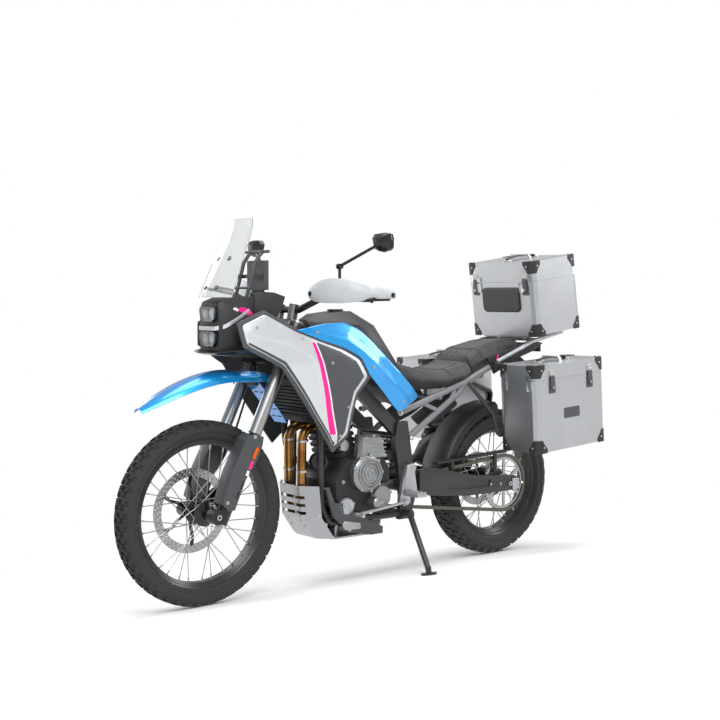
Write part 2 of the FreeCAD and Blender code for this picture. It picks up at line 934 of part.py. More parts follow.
def bar_points():
    rise = bar_z + bar_rise
    outer = V(bar_x - bar_sweep, bar_half, rise + bar_radius * 0.6)
    knee = V(bar_x - bar_radius * 1.3, bar_knee, rise)
    flat = V(bar_x, bar_flat, bar_z)
    return [outer, knee, flat]


def bar_tube():
    left = bar_points()
    right = [V(p.x, -p.y, p.z) for p in left[::-1]]
    return tube(left + right, bar_radius, bar_bend)


def bar_place(share):
    outer, knee = bar_points()[:2]
    return knee + (outer - knee) * share


def build_controls():
    outer, knee = bar_points()[:2]
    out = (outer - knee).normalize()
    forward = V(out.y, -out.x, 0).normalize()
    grip = bar(outer - out * grip_length, outer, grip_radius, clamp_sides)
    grip = grip.cut(pieces["handlebar"])
    place = bar_place(perch_reach)
    perch = bar(place - out * perch_radius, place + out * perch_radius, perch_radius, clamp_sides)
    arm = bar(place, place + forward * (lever_set * 0.9), lever_radius * 1.6)
    lever = tube([place + forward * lever_set - out * lever_radius,
                  place + forward * lever_set + out * (grip_length * 0.4),
                  outer + forward * (lever_set * 0.72) - out * (grip_length * 0.16)],
                 lever_radius, grip_length * 0.3)
    block = V(place.x, place.y, place.z)
    pot = bar(block + forward * (perch_radius * 1.2) + V(0, 0, perch_radius * 0.6),
              block + forward * (perch_radius * 1.2) + V(0, 0, perch_radius * 1.9), perch_radius)
    control = joined([perch, arm, lever, pot]).cut(pieces["handlebar"])
    pieces["grips"] = Part.makeCompound(both_sides(grip) + both_sides(control))
    pieces["handguards"] = Part.makeCompound(both_sides(hand_guard(out)))
    pieces["mirrors"] = Part.makeCompound(both_sides(seated(mirror(place), pieces["grips"])))


handguard_shares = ((0.73, 0.0), (1.0, 0.03), (0.97, 0.42), (0.75, 0.8), (0.39, 0.98),
                    (0.03, 1.0), (0.0, 0.92), (0.34, 0.89), (0.68, 0.72), (0.87, 0.38),
                    (0.88, 0.12), (0.74, 0.09))
handguard_low_shares = ((-0.1, -0.1), (1.1, -0.1), (1.1, 0.34), (0.62, 0.2), (0.26, 0.16),
                        (-0.1, 0.3))
handguard_top_shares = ((-0.1, 1.1), (0.42, 1.1), (0.3, 0.74), (-0.1, 0.64))


def hand_guard(out):
    # Shell in front of the lever and knuckles, held at the end of the bar and near its knee.
    x, y = handguard_x, handguard_y
    outline = [(x + handguard_length * a, y + handguard_width * b) for a, b in handguard_shares]
    shell = top_plate(outline, handguard_low, handguard_low + handguard_height)
    for shares in (handguard_low_shares, handguard_top_shares):
        shell = shell.cut(side_plate(traced(shares, x, handguard_low, handguard_length,
                                            handguard_height), y - overrun, y * 2.4))
    outer = bar_points()[0]
    inner = bar_place((handguard_y + beak_wall - bar_knee) / (bar_half - bar_knee))
    plug = bar(outer + out * touch, outer + out * (grip_radius * 1.4), bar_radius * 0.9)
    ring = bar(inner - out * (bar_radius * 0.5), inner + out * (bar_radius * 0.5),
               bar_radius * 1.5)
    return joined([shell, plug, ring]).cut(pieces["handlebar"]).cut(pieces["grips"])


mirror_shares = ((-1, 0.5), (-0.72, 0.92), (0.2, 1.0), (0.85, 0.86), (1.0, 0.2), (0.8, -0.6),
                 (0.1, -0.95), (-0.75, -0.6))


def mirror(place):
    foot = V(place.x, place.y, place.z + perch_radius + touch)
    ball = V(place.x, place.y, mirror_ball_z)
    head = V(mirror_head_x, mirror_head_y, mirror_head_z)
    stem = tube([foot, ball, head], mirror_radius)
    rings = []
    for set_back, share in ((0.5, 0.45), (0.12, 0.94), (-0.3, 1.0), (-0.3, 0.88), (-0.22, 0.86)):
        rings.append(ring_at(head.x + mirror_depth * set_back,
                             [(head.y + mirror_reach * share * a,
                               head.z + mirror_reach * 0.72 * share * b)
                              for a, b in mirror_shares]))
    knob = round_block([(mirror_radius * 1.8, -mirror_radius * 1.8),
                        (mirror_radius * 1.8, mirror_radius * 1.8)], ball, tube_sides)
    return joined([stem, solid_between(rings), knob])


guard_shares = ((0.39, 0.0), (0.84, 0.05), (1.0, 0.43), (0.92, 0.89), (0.66, 0.98), (0.11, 1.0),
                (0.0, 0.89), (0.0, 0.69), (0.18, 0.43), (0.13, 0.05))


def fork_guard(side):
    # Faceted shield in front of the sliding tube, open at the back.
    base = fork_at(guard_z, 0)
    ring = [base + ahead * (guard_length * a - guard_back)
            + steer_up * (guard_height * h - guard_low) for a, h in guard_shares]
    half = fork_foot_radius + touch + disc_thickness
    near = V(0, side * fork_spread - half, 0)
    shield = prism([p + near for p in ring], V(0, 2 * half, 0))
    inner = fork_foot_radius + touch
    top = base + steer_up * (guard_height * 0.3)
    bottom = base - steer_up * guard_height
    core = [bottom - ahead * guard_length, bottom + ahead * inner, top + ahead * inner,
            top - ahead * guard_length]
    start = V(0, side * fork_spread - inner, 0)
    return shield.cut(prism([p + start for p in core], V(0, 2 * inner, 0)))


fender_shares = ((0.0, 0.37, 1.0, 0.38), (0.12, 0.72, 0.69, 0.62), (0.28, 0.93, 0.35, 0.81),
                 (0.44, 1.0, 0.11, 0.95), (0.59, 0.98, 0.0, 1.0), (0.75, 0.9, 0.02, 0.95),
                 (0.9, 0.84, 0.08, 0.86), (1.0, 0.78, 0.17, 0.7))
bow_shares = ((-1, 1), (-0.86, 0.5), (-0.5, 0.1), (0, 0), (0.5, 0.1), (0.86, 0.5), (1, 1))
flap_shares = ((0.8, 0.12, 0.8), (0.95, 0.3, 0.62), (1.06, 1.12, 0.62), (1.16, 1.74, 0.74))


def build_fender():
    def bow(place, inset):
        along_x, half, drop, fall = place
        top = fender_top_z - fender_drop * drop - inset
        return ring_at(fender_tip_x - fender_length * along_x,
                       [((fender_half * half - inset) * y, top - fender_fall * fall * z)
                        for y, z in bow_shares])

    outer = solid_between([bow(place, 0) for place in fender_shares])
    inner = solid_between([bow(place, fender_wall) for place in fender_shares])
    rings = []
    for along_x, drop, half in flap_shares:
        x = fender_tip_x - fender_length * along_x
        z = fender_top_z - fender_drop * drop - fender_wall
        reach = flap_half * half / flap_shares[0][2]
        rings.append([V(x, -reach, z), V(x, reach, z), V(x - fender_wall, reach, z),
                      V(x - fender_wall, -reach, z)])
    middle = steer_at(clamp_low_z) + ahead * (fork_set / 2)
    under = middle - steer_up * (clamp_height / 2 + touch)
    block = prism([under + ahead * (yoke_depth * a) + steer_up * (-clamp_height * b)
                   - V(0, fender_half * 0.5, 0)
                   for a, b in ((-0.4, 0), (0.5, 0), (0.5, 1.2), (-0.4, 0.9))],
                  V(0, fender_half, 0))
    pieces["front_fender"] = joined([outer.cut(inner), solid_between(rings), block])


def caliper_place(centre, radius, degrees):
    turn = math.radians(degrees)
    reach = radius - disc_band / 2
    return centre + V(reach * math.sin(turn), 0, reach * math.cos(turn))


def caliper(centre, radius, offset, degrees, seat):
    # Body over the edge of the disc, with a slot for it and a lug out to its carrier.
    half = caliper_length / 2
    low = centre.z + radius - disc_band - caliper_inner * 0.5
    high = centre.z + radius + caliper_inner * 0.9
    ring = [(offset - caliper_outer, low), (offset + caliper_inner, low),
            (offset + caliper_inner, high - caliper_inner * 0.5),
            (offset + caliper_inner * 0.5, high), (offset - caliper_outer * 0.6, high),
            (offset - caliper_outer, high - caliper_inner * 0.4)]
    block = solid_between([
        ring_at(centre.x - half, [(y * 0.96 + offset * 0.04, z) for y, z in ring]),
        ring_at(centre.x - half * 0.7, ring), ring_at(centre.x + half * 0.7, ring),
        ring_at(centre.x + half, [(y * 0.96 + offset * 0.04, z) for y, z in ring])])
    lug = box(centre.x - half * 0.8, centre.x + half * 0.8, seat, offset - caliper_outer * 0.9,
              low, low + disc_band)
    gap = disc_thickness / 2 + pad_gap
    slot = box(centre.x - half * 1.2, centre.x + half * 1.2, offset - gap, offset + gap,
               low - disc_band, centre.z + radius + seam)
    return turned(joined([block, lug]).cut(slot), centre, sideways, degrees)


def build_brakes():
    near = -front_disc_offset - caliper_outer - seam * 2
    front = caliper(front_axle, front_disc_radius, -front_disc_offset, 285, near + touch)
    pieces["front_caliper"] = front
    rear = caliper(rear_axle, rear_disc_radius, -rear_disc_offset, 62, touch - arm_inner)
    pieces["rear_caliper"] = rear
    inner = -(fork_spread - guard_half - mirror_radius * 1.3)
    start = fork_at(clamp_low_z, 0) - steer_up * (clamp_height / 2 + touch)
    end = caliper_place(front_axle, front_disc_radius + disc_band, 285)
    top = caliper_place(front_axle, front_disc_radius + disc_band * 2.4, 290)
    line = [start - ahead * mirror_radius, fork_at(fork_seal_z, 0) - ahead * fork_set,
            top + V(0, 0, fork_foot_z - front_radius), top, end]
    hose = tube([V(p.x, inner, p.z) for p in line], mirror_radius * 0.7, disc_band * 0.5)
    pieces["brake_hoses"] = seated(hose, front)


# Engine
crank_shares = ((0.87, 0.05), (0.99, 0.3), (1.0, 0.6), (0.89, 0.84), (0.76, 1.0), (0.12, 1.0),
                (0.0, 0.74), (0.0, 0.26), (0.1, 0.05), (0.48, 0.0))
head_shares = ((0.0, 0.05), (0.03, 0.67), (0.35, 1.0), (0.84, 0.82), (1.0, 0.29), (0.84, 0.0))


def shrunk(outline, share):
    middle_x = sum(x for x, z in outline) / len(outline)
    middle_z = sum(z for x, z in outline) / len(outline)
    return [(middle_x + (x - middle_x) * share, middle_z + (z - middle_z) * share)
            for x, z in outline]


def build_engine():
    low_z = cradle_z + frame_tube * 1.4
    outline = traced(crank_shares, crank_x, low_z, crank_length, crank_height + crank_z - low_z)
    small = shrunk(outline, 0.88)
    outer = crank_half * 1.4
    rings = [[V(x, y, z) for x, z in trace] for y, trace in (
        (-outer, small), (-crank_half, outline), (crank_half, outline), (outer, small))]
    case = solid_between(rings)
    pocket = box(crank_x - overrun, drive_x + chain_height * 4, chain_offset - chain_width,
                 outer + overrun, drive_z - chain_height * 4.2, drive_z + chain_height * 4.2)
    case = case.cut(pocket)
    barrel = []
    half = cylinder_length / 2
    corners = [(-1, -0.7), (-0.7, -1), (0.7, -1), (1, -0.7), (1, 0.7), (0.7, 1), (-0.7, 1),
               (-1, 0.7)]

    def slice_at(z, extra):
        return [V((half + extra) * a, (cylinder_half + extra) * b, z) for a, b in corners]

    barrel.append(solid_between([slice_at(-fin_reach * 2, 0), slice_at(cylinder_height, 0)]))
    for fin in range(fin_count):
        z = cylinder_height * (fin + 0.6) / fin_count
        barrel.append(solid_between([slice_at(z, fin_reach), slice_at(z + fin_wall, fin_reach)]))
    barrel = turned(joined(barrel), origin, sideways, cylinder_tilt)
    barrel = moved(barrel, cylinder_x, 0, cylinder_z)
    outline = traced(head_shares, head_back_x, head_low_z, head_length, head_height)
    small = shrunk(outline, 0.9)
    top = solid_between([[V(x, y, z) for x, z in trace] for y, trace in (
        (-head_half, small), (-head_half * 0.85, outline), (head_half * 0.85, outline),
        (head_half, small))])
    lug_z = crank_z + crank_height
    rear_lug = box(crank_x - peg_height * 1.6, crank_x + peg_height, touch - plate_inner,
                   plate_inner - touch, lug_z - peg_height * 2, lug_z)
    front_x = pivot_x + (head_x - pivot_x) * down_shares[3][0]
    tube_side = frame_half * down_shares[3][1] - frame_tube
    front_lug = box(crank_x + crank_length * 0.9, front_x + frame_tube * 0.6, touch - tube_side,
                    tube_side - touch, drive_z - peg_height, drive_z + peg_height * 0.4)
    shaft = round_block([(axle_radius, chain_offset - chain_width - touch),
                         (axle_radius, chain_offset + chain_width * 0.5)],
                        V(drive_x, 0, drive_z), clamp_sides)
    blank = toothed_plate(V(drive_x, 0, drive_z), drive_teeth, sprocket_wall)[0]
    pieces["engine"] = joined([case, barrel, top, rear_lug, front_lug, shaft, blank])
    build_covers(outer)


def build_covers(outer):
    seat = outer + touch
    stator = round_block([(cover_radius, seat), (cover_radius, seat + cover_depth * 0.6),
                          (cover_radius * 0.84, seat + cover_depth * 0.85),
                          (cover_radius * 0.4, seat + cover_depth)],
                         V(cover_x, 0, cover_z), hub_sides)
    clutch = round_block([(cover_radius * 0.4, -seat - cover_depth),
                          (cover_radius, -seat - cover_depth * 0.85),
                          (cover_radius * 1.16, -seat - cover_depth * 0.6),
                          (cover_radius * 1.16, -seat)],
                         V(cover_x, 0, cover_z - cover_depth), hub_sides)
    x0, x1 = upper_cover_x, upper_cover_x + upper_cover_length
    z0, z1 = upper_cover_z, upper_cover_z + upper_cover_height
    top = [(x0, z0), (x1, z0), (x1 - fin_reach, z1), (x0 + fin_reach * 3, z1 - fin_reach)]
    small = shrunk(top, 0.82)
    starter = solid_between([[V(x, y, z) for x, z in trace] for y, trace in (
        (cylinder_half + fin_reach + touch, top), (outer, top), (outer * 1.18, small))])
    starter = seated(starter, pieces["engine"], stator)
    can = round_block([(filter_radius, seat), (filter_radius, seat + cover_depth),
                       (filter_radius * 0.7, seat + cover_depth * 1.15)],
                      V(filter_x, 0, crank_z + filter_height), clamp_sides)
    guard_edge = chain_offset + chain_width * 0.5 + seam * 2
    cover = round_block([(chain_height * 3.7, guard_edge), (chain_height * 3.7, outer),
                         (chain_height * 3.1, outer * 1.12)], V(drive_x, 0, drive_z), clamp_sides)
    cover = cover.cut(bar(V(cover_x, 0, cover_z), V(cover_x, body_half, cover_z),
                          cover_radius + seam, hub_sides))
    cover = cover.cut(side_plate(traced(plate_shares, plate_x, plate_z, plate_length + seam,
                                        plate_height), plate_inner, body_half))
    cover = seated(cover, pieces["engine"], can)
    pieces["engine_covers"] = Part.makeCompound([stator, clutch, starter, can, cover])


def build_radiator():
    half = radiator_depth / 2
    tall = radiator_height / 2
    x, z = radiator_x, radiator_z
    core = box(x - half * 0.8, x + half * 0.8, -radiator_half, radiator_half, z - tall, z + tall)
    rows = []
    pitch = 2 * (tall - radiator_tank) / slat_count
    for row in range(slat_count):
        low = z - tall + radiator_tank + pitch * (row + 0.3)
        rows.append(box(x + half * 0.3, x + half * 2, -radiator_half * 0.92, radiator_half * 0.92,
                        low, low + pitch * 0.4))
    tanks = [box(x - half, x + half, -radiator_half, radiator_half, low, low + radiator_tank)
             for low in (z - tall, z + tall - radiator_tank)]
    shape = joined([core.cut(joined(rows))] + tanks)
    shape = turned(shape, V(x, 0, z), sideways, radiator_tilt)
    lugs = []
    for side in (1, -1):
        lugs.append(box(x - radiator_depth * 3, x, side * frame_half * 0.8 - fin_reach,
                        side * frame_half * 0.8 + fin_reach, z - fin_reach, z + fin_reach))
    pieces["radiator"] = max(joined([shape] + lugs).cut(pieces["main_frame"]).Solids,
                             key=lambda solid: solid.Volume)


header_shares = ((0.7, 0.9, 0.936), (0.994, 0.9, 0.936), (0.994, 0.84, 0.46), (0.94, 0.72, 0.18),
                 (0.78, 0.6, 0.035), (0.19, 0.46, 0.035))
link_shares = ((-0.12, 0.0, 0.035), (-0.3, 0.0, -0.035), (-0.55, -1.9, -0.035),
               (-0.72, -3.05, 0.08), (-1.1, -3.3, 0.36), (-1.469, -3.32, 0.482))


def build_exhaust():
    corner = V(0, 0, pipe_low_z)
    size = V(pipe_x, pipe_half, pipe_height)
    route = placed(header_shares, corner, size)
    pipes = both_sides(tube(route, pipe_radius, pipe_bend))
    end = V(size.x * link_shares[0][0], 0, corner.z + size.z * link_shares[0][2])
    gather = solid_between([
        square_ring(route[-1].x + pipe_radius, 0, end.z, pipe_half * 0.5 + pipe_radius,
                    pipe_radius),
        square_ring(end.x, 0, end.z, pipe_radius * 1.05, pipe_radius * 1.05)])
    headers = joined(pipes + [gather])
    pieces["exhaust_headers"] = max(headers.cut(pieces["engine"]).Solids,
                                    key=lambda solid: solid.Volume)
    link = tube(placed(link_shares, corner, size), pipe_radius, pipe_bend)
    can = []
    corners = [(1, 0.45), (0.55, 1), (-0.55, 1), (-1, 0.45), (-1, -0.45), (-0.55, -1), (0.55, -1),
               (1, -0.45)]
    for share, fat in ((0.0, 0.5), (0.08, 0.95), (0.2, 1.0), (0.86, 1.0), (0.93, 0.9),
                       (1.0, 0.86)):
        z = muffler_front_z + muffler_rise * share
        can.append(ring_at(muffler_front_x - muffler_length * share,
                           [(-muffler_y + muffler_half * fat * a, z + muffler_tall * fat * b)
                            for a, b in corners]))
    tail = can[-1][0].x
    outlet = bar(V(tail - pipe_radius * 0.1, -muffler_y, muffler_front_z + muffler_rise),
                 V(tail + pipe_radius * 2, -muffler_y, muffler_front_z + muffler_rise),
                 pipe_radius)
    body = solid_between(can).cut(outlet)
    hang_x = muffler_front_x - muffler_length * 0.3
    hang = side_plate([(hang_x, muffler_front_z + muffler_tall), (hang_x - peg_width,
                                                                  muffler_front_z + muffler_tall),
                       (hang_x - peg_width, rail_z + rail_height * 0.75),
                       (hang_x - peg_width * 0.4, rail_z + rail_height * 0.75)],
                      -rail_half - disc_thickness, -rail_half)
    pieces["muffler"] = seated(joined([link, body, hang]), pieces["subframe"],
                               pieces["exhaust_headers"])


shield_shares = ((1.0, 0.955), (0.47, 0.915), (0.16, 0.76), (0.085, 0.7))
floor_shares = ((0.85, 0.085), (0.1, 0.075), (0.0, 0.1), (0.01, 0.13), (0.12, 0.11), (0.83, 0.11))
belly_shares = ((1.0, 1.0), (0.94, 0.96), (0.83, 0.44), (0.56, 0.11), (0.2, 0.0), (0.0, 0.0),
                (0.0, 0.13), (0.16, 0.24), (0.46, 0.44), (0.59, 0.67), (0.8, 0.69), (0.89, 1.0))


def build_skid():
    # The shield bends round the pipes and runs into the floor below the engine.
    rings = []
    for rise, reach in shield_shares:
        x = skid_x + skid_length * reach
        nose = x + skid_nose
        outer = [(x, -skid_half), (nose, -skid_bend), (nose, skid_bend), (x, skid_half)]
        inner = [(a - skid_wall, b * 0.98 if a == nose else b) for a, b in outer[::-1]]
        rings.append([V(a, b, skid_z + skid_height * rise) for a, b in outer + inner])
    toe = rings[-1]
    plan = Part.Face(Part.makePolygon([V(skid_x - seam, -skid_half, 0)] + [V(p.x, p.y, 0)
                                      for p in toe[:4]] + [V(skid_x - seam, skid_half, 0)]
                                      + [V(skid_x - seam, -skid_half, 0)]))
    base = side_plate(traced(floor_shares, skid_x, skid_z, skid_length, skid_height),
                      -skid_half, skid_half)
    plate = joined([solid_between(rings), base.common(plan.extrude(V(0, 0, skid_z * 2)))])
    slots = []
    wide = skid_half * 0.2
    for row in range(3):
        for column in (-1.4, 0, 1.4):
            middle = wide * 1.6 * column
            z = skid_z + skid_height * (0.52 + 0.13 * row)
            slots.append(box(skid_x + skid_length * 0.8, skid_x + skid_length * 1.2,
                             middle - wide, middle + wide, z, z + skid_wall * 2.4))
    plate = plate.cut(joined(slots))
    floor = skid_z + skid_height * 0.1
    tabs = []
    for share in (0.28, 0.6):
        x = skid_x + skid_length * share
        for side in (1, -1):
            y = side * frame_half * 0.95
            tabs.append(box(x, x + skid_wall * 4, y - frame_tube * 0.4, y + frame_tube * 0.4,
                            floor - skid_wall * 0.4, cradle_z - frame_tube * 0.93))
    pieces["skid_plate"] = joined([plate] + tabs)
    near = skid_half + touch
    guard = side_plate(traced(belly_shares, belly_x, belly_z, belly_length, belly_height), near,
                       near + belly_wall)
    pieces["belly_guards"] = Part.makeCompound(both_sides(guard))


# Bodywork half-widths over the side view, as shares of the greatest half-width
body_x_shares = (0.0, 0.235, 0.392, 0.539, 0.686, 0.843, 1.0)
body_z_shares = (0.0, 0.267, 0.467, 0.633, 0.767, 0.883, 1.0)
body_half_shares = (
    (0.60, 0.64, 0.68, 0.66, 0.58, 0.46, 0.34),
    (0.72, 0.76, 0.80, 0.76, 0.66, 0.50, 0.36),
    (0.84, 0.90, 0.95, 0.93, 0.84, 0.68, 0.46),
    (0.92, 0.98, 1.00, 0.98, 0.90, 0.76, 0.54),
    (0.90, 0.98, 1.00, 0.98, 0.90, 0.78, 0.60),
    (0.82, 0.90, 0.94, 0.92, 0.84, 0.74, 0.62),
    (0.60, 0.66, 0.70, 0.70, 0.66, 0.60, 0.54),
)
side_shares = ((0.82, 1.0), (1.0, 0.92), (0.98, 0.78), (0.73, 0.63), (0.31, 0.0), (0.2, 0.09),
               (0.12, 0.4), (0.0, 0.52), (0.08, 0.65), (0.23, 0.73), (0.4, 0.79), (0.6, 0.87))
tank_side_shares = ((1.0, 0.93), (0.79, 0.99), (0.62, 1.0), (0.51, 0.93), (0.21, 0.49),
                    (0.0, 0.16), (0.18, 0.0), (0.4, 0.32), (0.47, 0.43), (0.54, 0.63),
                    (0.67, 0.74), (0.83, 0.82))


def body_points(row, inset):
    return [(body_half * share - inset, body_z + body_height * z)
            for z, share in zip(body_z_shares, row)]


def skin(outline, inset, wall):
    rings = []
    for x, row in zip(body_x_shares, body_half_shares):
        outer = body_points(row, inset)
        inner = [(y - wall, z) for y, z in outer[::-1]]
        rings.append(ring_at(body_x + body_length * x, outer + inner))
    return solid_between(rings).common(side_plate(outline, body_half * 0.1, body_half * 1.2))


def bulk(inset):
    # Everything between the middle plane and the bodywork.
    rings = []
    for x, row in zip(body_x_shares, body_half_shares):
        outer = body_points(row, inset)
        inner = [(0, z) for y, z in outer[::-1]]
        rings.append(ring_at(body_x + body_length * x, outer + inner))
    return solid_between(rings)


def grown(outline, reach):
    ring = [V(x, 0, z) for x, z in outline]
    wide = Part.Face(Part.makePolygon(ring + ring[:1])).makeOffset2D(reach, 2)
    return [(v.Point.x, v.Point.z) for v in wide.OuterWire.OrderedVertexes]


tank_stations = ((1.0, 0.33, 0.0, 0.915), (0.86, 0.7, 0.0, 0.97), (0.57, 0.93, 0.0, 1.0),
                 (0.28, 0.85, 0.2, 0.85), (0.0, 0.62, 0.02, 0.5))


def build_bodywork():
    side_line = traced(side_shares, side_x, side_z, side_length, side_height)
    blue_line = traced(tank_side_shares, tank_side_x, tank_side_z, tank_side_length,
                       tank_side_height)
    edge = side_plate(grown(side_line, seam), 0, body_half * 1.2)
    side = skin(side_line, 0, panel_wall)
    blue = seated(skin(blue_line, 0, panel_wall), edge)
    trim = joined([skin(grown(side_line, trim_width * 0.7), layer, panel_wall),
                   skin(shrunk(blue_line, 0.94), layer, panel_wall)])
    lip = nose_lip()
    pieces["panel_trims"] = Part.makeCompound(both_sides(seated(trim, side, blue, lip)))
    pieces["side_panels"] = Part.makeCompound(both_sides(side) + [lip])
    pieces["tank_panels"] = Part.makeCompound(both_sides(blue))
    rings = []
    for share, half, low, high in tank_stations:
        x = tank_x + tank_length * share
        foot = spar_top(x) + touch if low == 0 else tank_low_z + tank_height * low
        rings.append(section(x, tank_half * half, foot, tank_low_z + tank_height * high, 0.5, 0.8))
    tank = solid_between(rings)
    crown = V(tank_x + tank_length * 0.62, 0, tank_low_z + tank_height * 0.97)
    cap = tube([crown, crown + V(0, 0, tank_height * 0.03 + cap_height)], cap_radius, 0,
               hub_sides)
    pieces["fuel_tank"] = seated(joined([tank, cap]), pieces["main_frame"])


lip_shares = ((0.0, 0.5, 1.0, 0.36), (0.42, 0.47, 0.62, 0.3), (0.86, 0.31, 0.2, 0.16),
              (1.0, 0.12, 0.0, 0.12))


def nose_lip():
    # Band below the lamps that runs back to the side panels.
    rings = []
    for a, half, rise, tall in lip_shares:
        x = beak_x + beak_length * a
        y = beak_half * 2 * half * 0.9
        z = beak_z + cowl_height * 0.36 * rise
        rings.append([V(x, y, z), V(x - beak_wall * 0.5, y - beak_wall, z),
                      V(x - beak_wall * 0.5, y - beak_wall, z + cowl_height * tall * 0.5),
                      V(x, y, z + cowl_height * tall * 0.5)])
    mirrored = [[V(p.x, -p.y, p.z) for p in ring] for ring in rings[::-1]]
    inner = bulk(layer * 2 + touch)
    return solid_between(rings + mirrored).common(joined(both_sides(inner)))


cowl_shares = ((0.0, 0.72, 0.06, 0.93), (0.5, 0.66, 0.08, 0.94), (0.94, 0.55, 0.12, 0.86),
               (1.0, 0.5, 0.16, 0.82))
wing_shares = ((0.12, 1.0), (-0.1, 1.0), (-0.34, 0.99), (-0.6, 0.93), (-0.5, 0.72), (-0.2, 0.5),
               (0.12, 0.4))
lamp_shares = ((-1, 0.82), (-0.8, 1.0), (0.8, 1.0), (1, 0.82), (0.86, 0.18), (0.6, 0.0),
               (-0.6, 0.0), (-0.86, 0.18))


def cowl_block(inset):
    rings = []
    for a, half, low, high in cowl_shares:
        y = cowl_half * half - inset
        z0 = cowl_z + cowl_height * low + inset
        z1 = cowl_z + cowl_height * high - inset
        mid = z0 + (z1 - z0) * 0.6
        rings.append(ring_at(cowl_x + cowl_length * a - (inset if a == 1 else 0),
                             [(-y * 0.9, z0), (y * 0.9, z0), (y, mid), (y * 0.8, z1),
                              (-y * 0.8, z1), (-y, mid)]))
    return solid_between(rings)


def lamp_block(low, inset):
    front = cowl_x + cowl_length
    rings = []
    for x, grow in ((front - lamp_depth, 0.9), (front + lamp_depth * 0.3, 1.0),
                    (front + lamp_depth * 0.55, 0.9)):
        rings.append(ring_at(x, [((lamp_half * grow + inset) * a,
                                  low + lamp_height / 2 + (lamp_height * (b - 0.5) * grow)
                                  + inset * (1 if b > 0.5 else -1))
                                 for a, b in lamp_shares]))
    return solid_between(rings)


def build_cowl():
    wall = disc_thickness
    shell = cowl_block(0).cut(cowl_block(wall))
    shell = shell.cut(moved(cowl_block(wall), -wall, 0, 0))
    wings = []
    for side in (1, -1):
        rings = []
        for reach in (0, wall):
            ring = []
            for a, b in wing_shares:
                x = cowl_x + cowl_length * a
                y = cowl_half * (0.78 - 0.42 * a)
                ring.append(V(x, side * (y + reach - wall), cowl_z + cowl_height * b))
            rings.append(ring)
        wings.append(solid_between(rings))
    shell = joined([shell] + wings)
    lamps = []
    for low in (lamp_low_z, lamp_high_z):
        lamps.append(lamp_block(low, 0))
        shell = shell.cut(lamp_block(low, touch))
    base = front_plate([(-cowl_half, lamp_low_z - lamp_height * 0.2),
                        (cowl_half, lamp_low_z - lamp_height * 0.2),
                        (cowl_half, lamp_low_z + lamp_height * 1.6),
                        (-cowl_half, lamp_low_z + lamp_height * 1.6)],
                       tower_foot_x + touch, tower_foot_x + touch + wall)
    base = base.common(cowl_block(wall + touch))
    route = [V(tower_foot_x + wall, tower_half, lamp_high_z), V(tower_top_x, tower_half,
                                                              tower_top_z - mirror_reach),
             V(tower_top_x - mirror_reach * 0.6, tower_half, tower_top_z - pad_gap * 12)]
    legs = both_sides(tube(route, tower_radius, 0))
    hole = tube([route[0], route[1]], tower_radius * 1.4)
    shell = shell.cut(joined(both_sides(hole)))
    middle = route[2]
    # The middle of the bar is stouter than its two free ends, which carry a device clamp.
    shoulder = tower_half + tower_radius * 1.2
    cross = joined([rod(V(middle.x, -device_bar_half, middle.z),
                        V(middle.x, device_bar_half, middle.z), device_end_radius),
                    rod(V(middle.x, -shoulder, middle.z), V(middle.x, shoulder, middle.z),
                        tower_radius)])
    show_z = tower_top_z - display_height * 1.4
    show = box(middle.x - display_depth * 0.8, middle.x + display_depth * 0.2, -display_half,
               display_half, show_z, show_z + display_height)
    arm_z = show_z + display_height * 0.4
    arms = [box(middle.x, tower_foot_x - tower_radius * 3, y - tower_radius * 0.6,
                y + tower_radius * 0.6, arm_z, arm_z + tower_radius * 2)
            for y in (tower_half, -tower_half)]
    screen = screen_solid(0)
    bosses = []
    for z in (screen_low_z + screen_height * 0.12, tower_top_z - display_depth * 2):
        for y in (tower_half, -tower_half):
            bosses.append(bar(V(tower_top_x + tower_radius * 2, y, z),
                              V(screen_low_x + overrun, y, z), tower_radius * 0.7))
    tower = joined(legs + [cross, show, base] + arms + bosses).cut(screen_solid(screen_low_x))
    pieces["windscreen"] = screen
    pieces["nav_tower"] = max(tower.Solids, key=lambda solid: solid.Volume)
    pieces["headlamps"] = Part.makeCompound(lamps)
    shell = shell.cut(joined(bosses)).cut(screen)
    pieces["front_cowl"] = max(shell.Solids, key=lambda solid: solid.Volume)
    front = cowl_x + cowl_length
    strip = tube([V(front + band_radius * 1.2, lamp_half * 1.25, lamp_low_z + lamp_height * 1.2),
                  V(front + band_radius * 1.6, lamp_half * 1.2, lamp_low_z + lamp_height * 0.2),
                  V(front + band_radius * 2, lamp_half * 0.7, lamp_low_z - band_radius * 1.6),
                  V(front + band_radius * 2, -lamp_half * 0.7, lamp_low_z - band_radius * 1.6),
                  V(front + band_radius * 1.6, -lamp_half * 1.2, lamp_low_z + lamp_height * 0.2),
                  V(front + band_radius * 1.2, -lamp_half * 1.25,
                    lamp_low_z + lamp_height * 1.2)], band_radius * 0.7, band_radius * 2)
    pieces["light_band"] = seated(strip, pieces["front_cowl"], pieces["side_panels"],
                                  joined(lamps))


screen_shares = ((0.0, 0.97, 0.66, 0.0, -0.36), (0.43, 0.87, 0.62, 0.0, -0.22),
                 (0.85, 0.78, 0.55, 0.0, -0.12), (1.0, 0.58, 0.4, 0.02, -0.06))


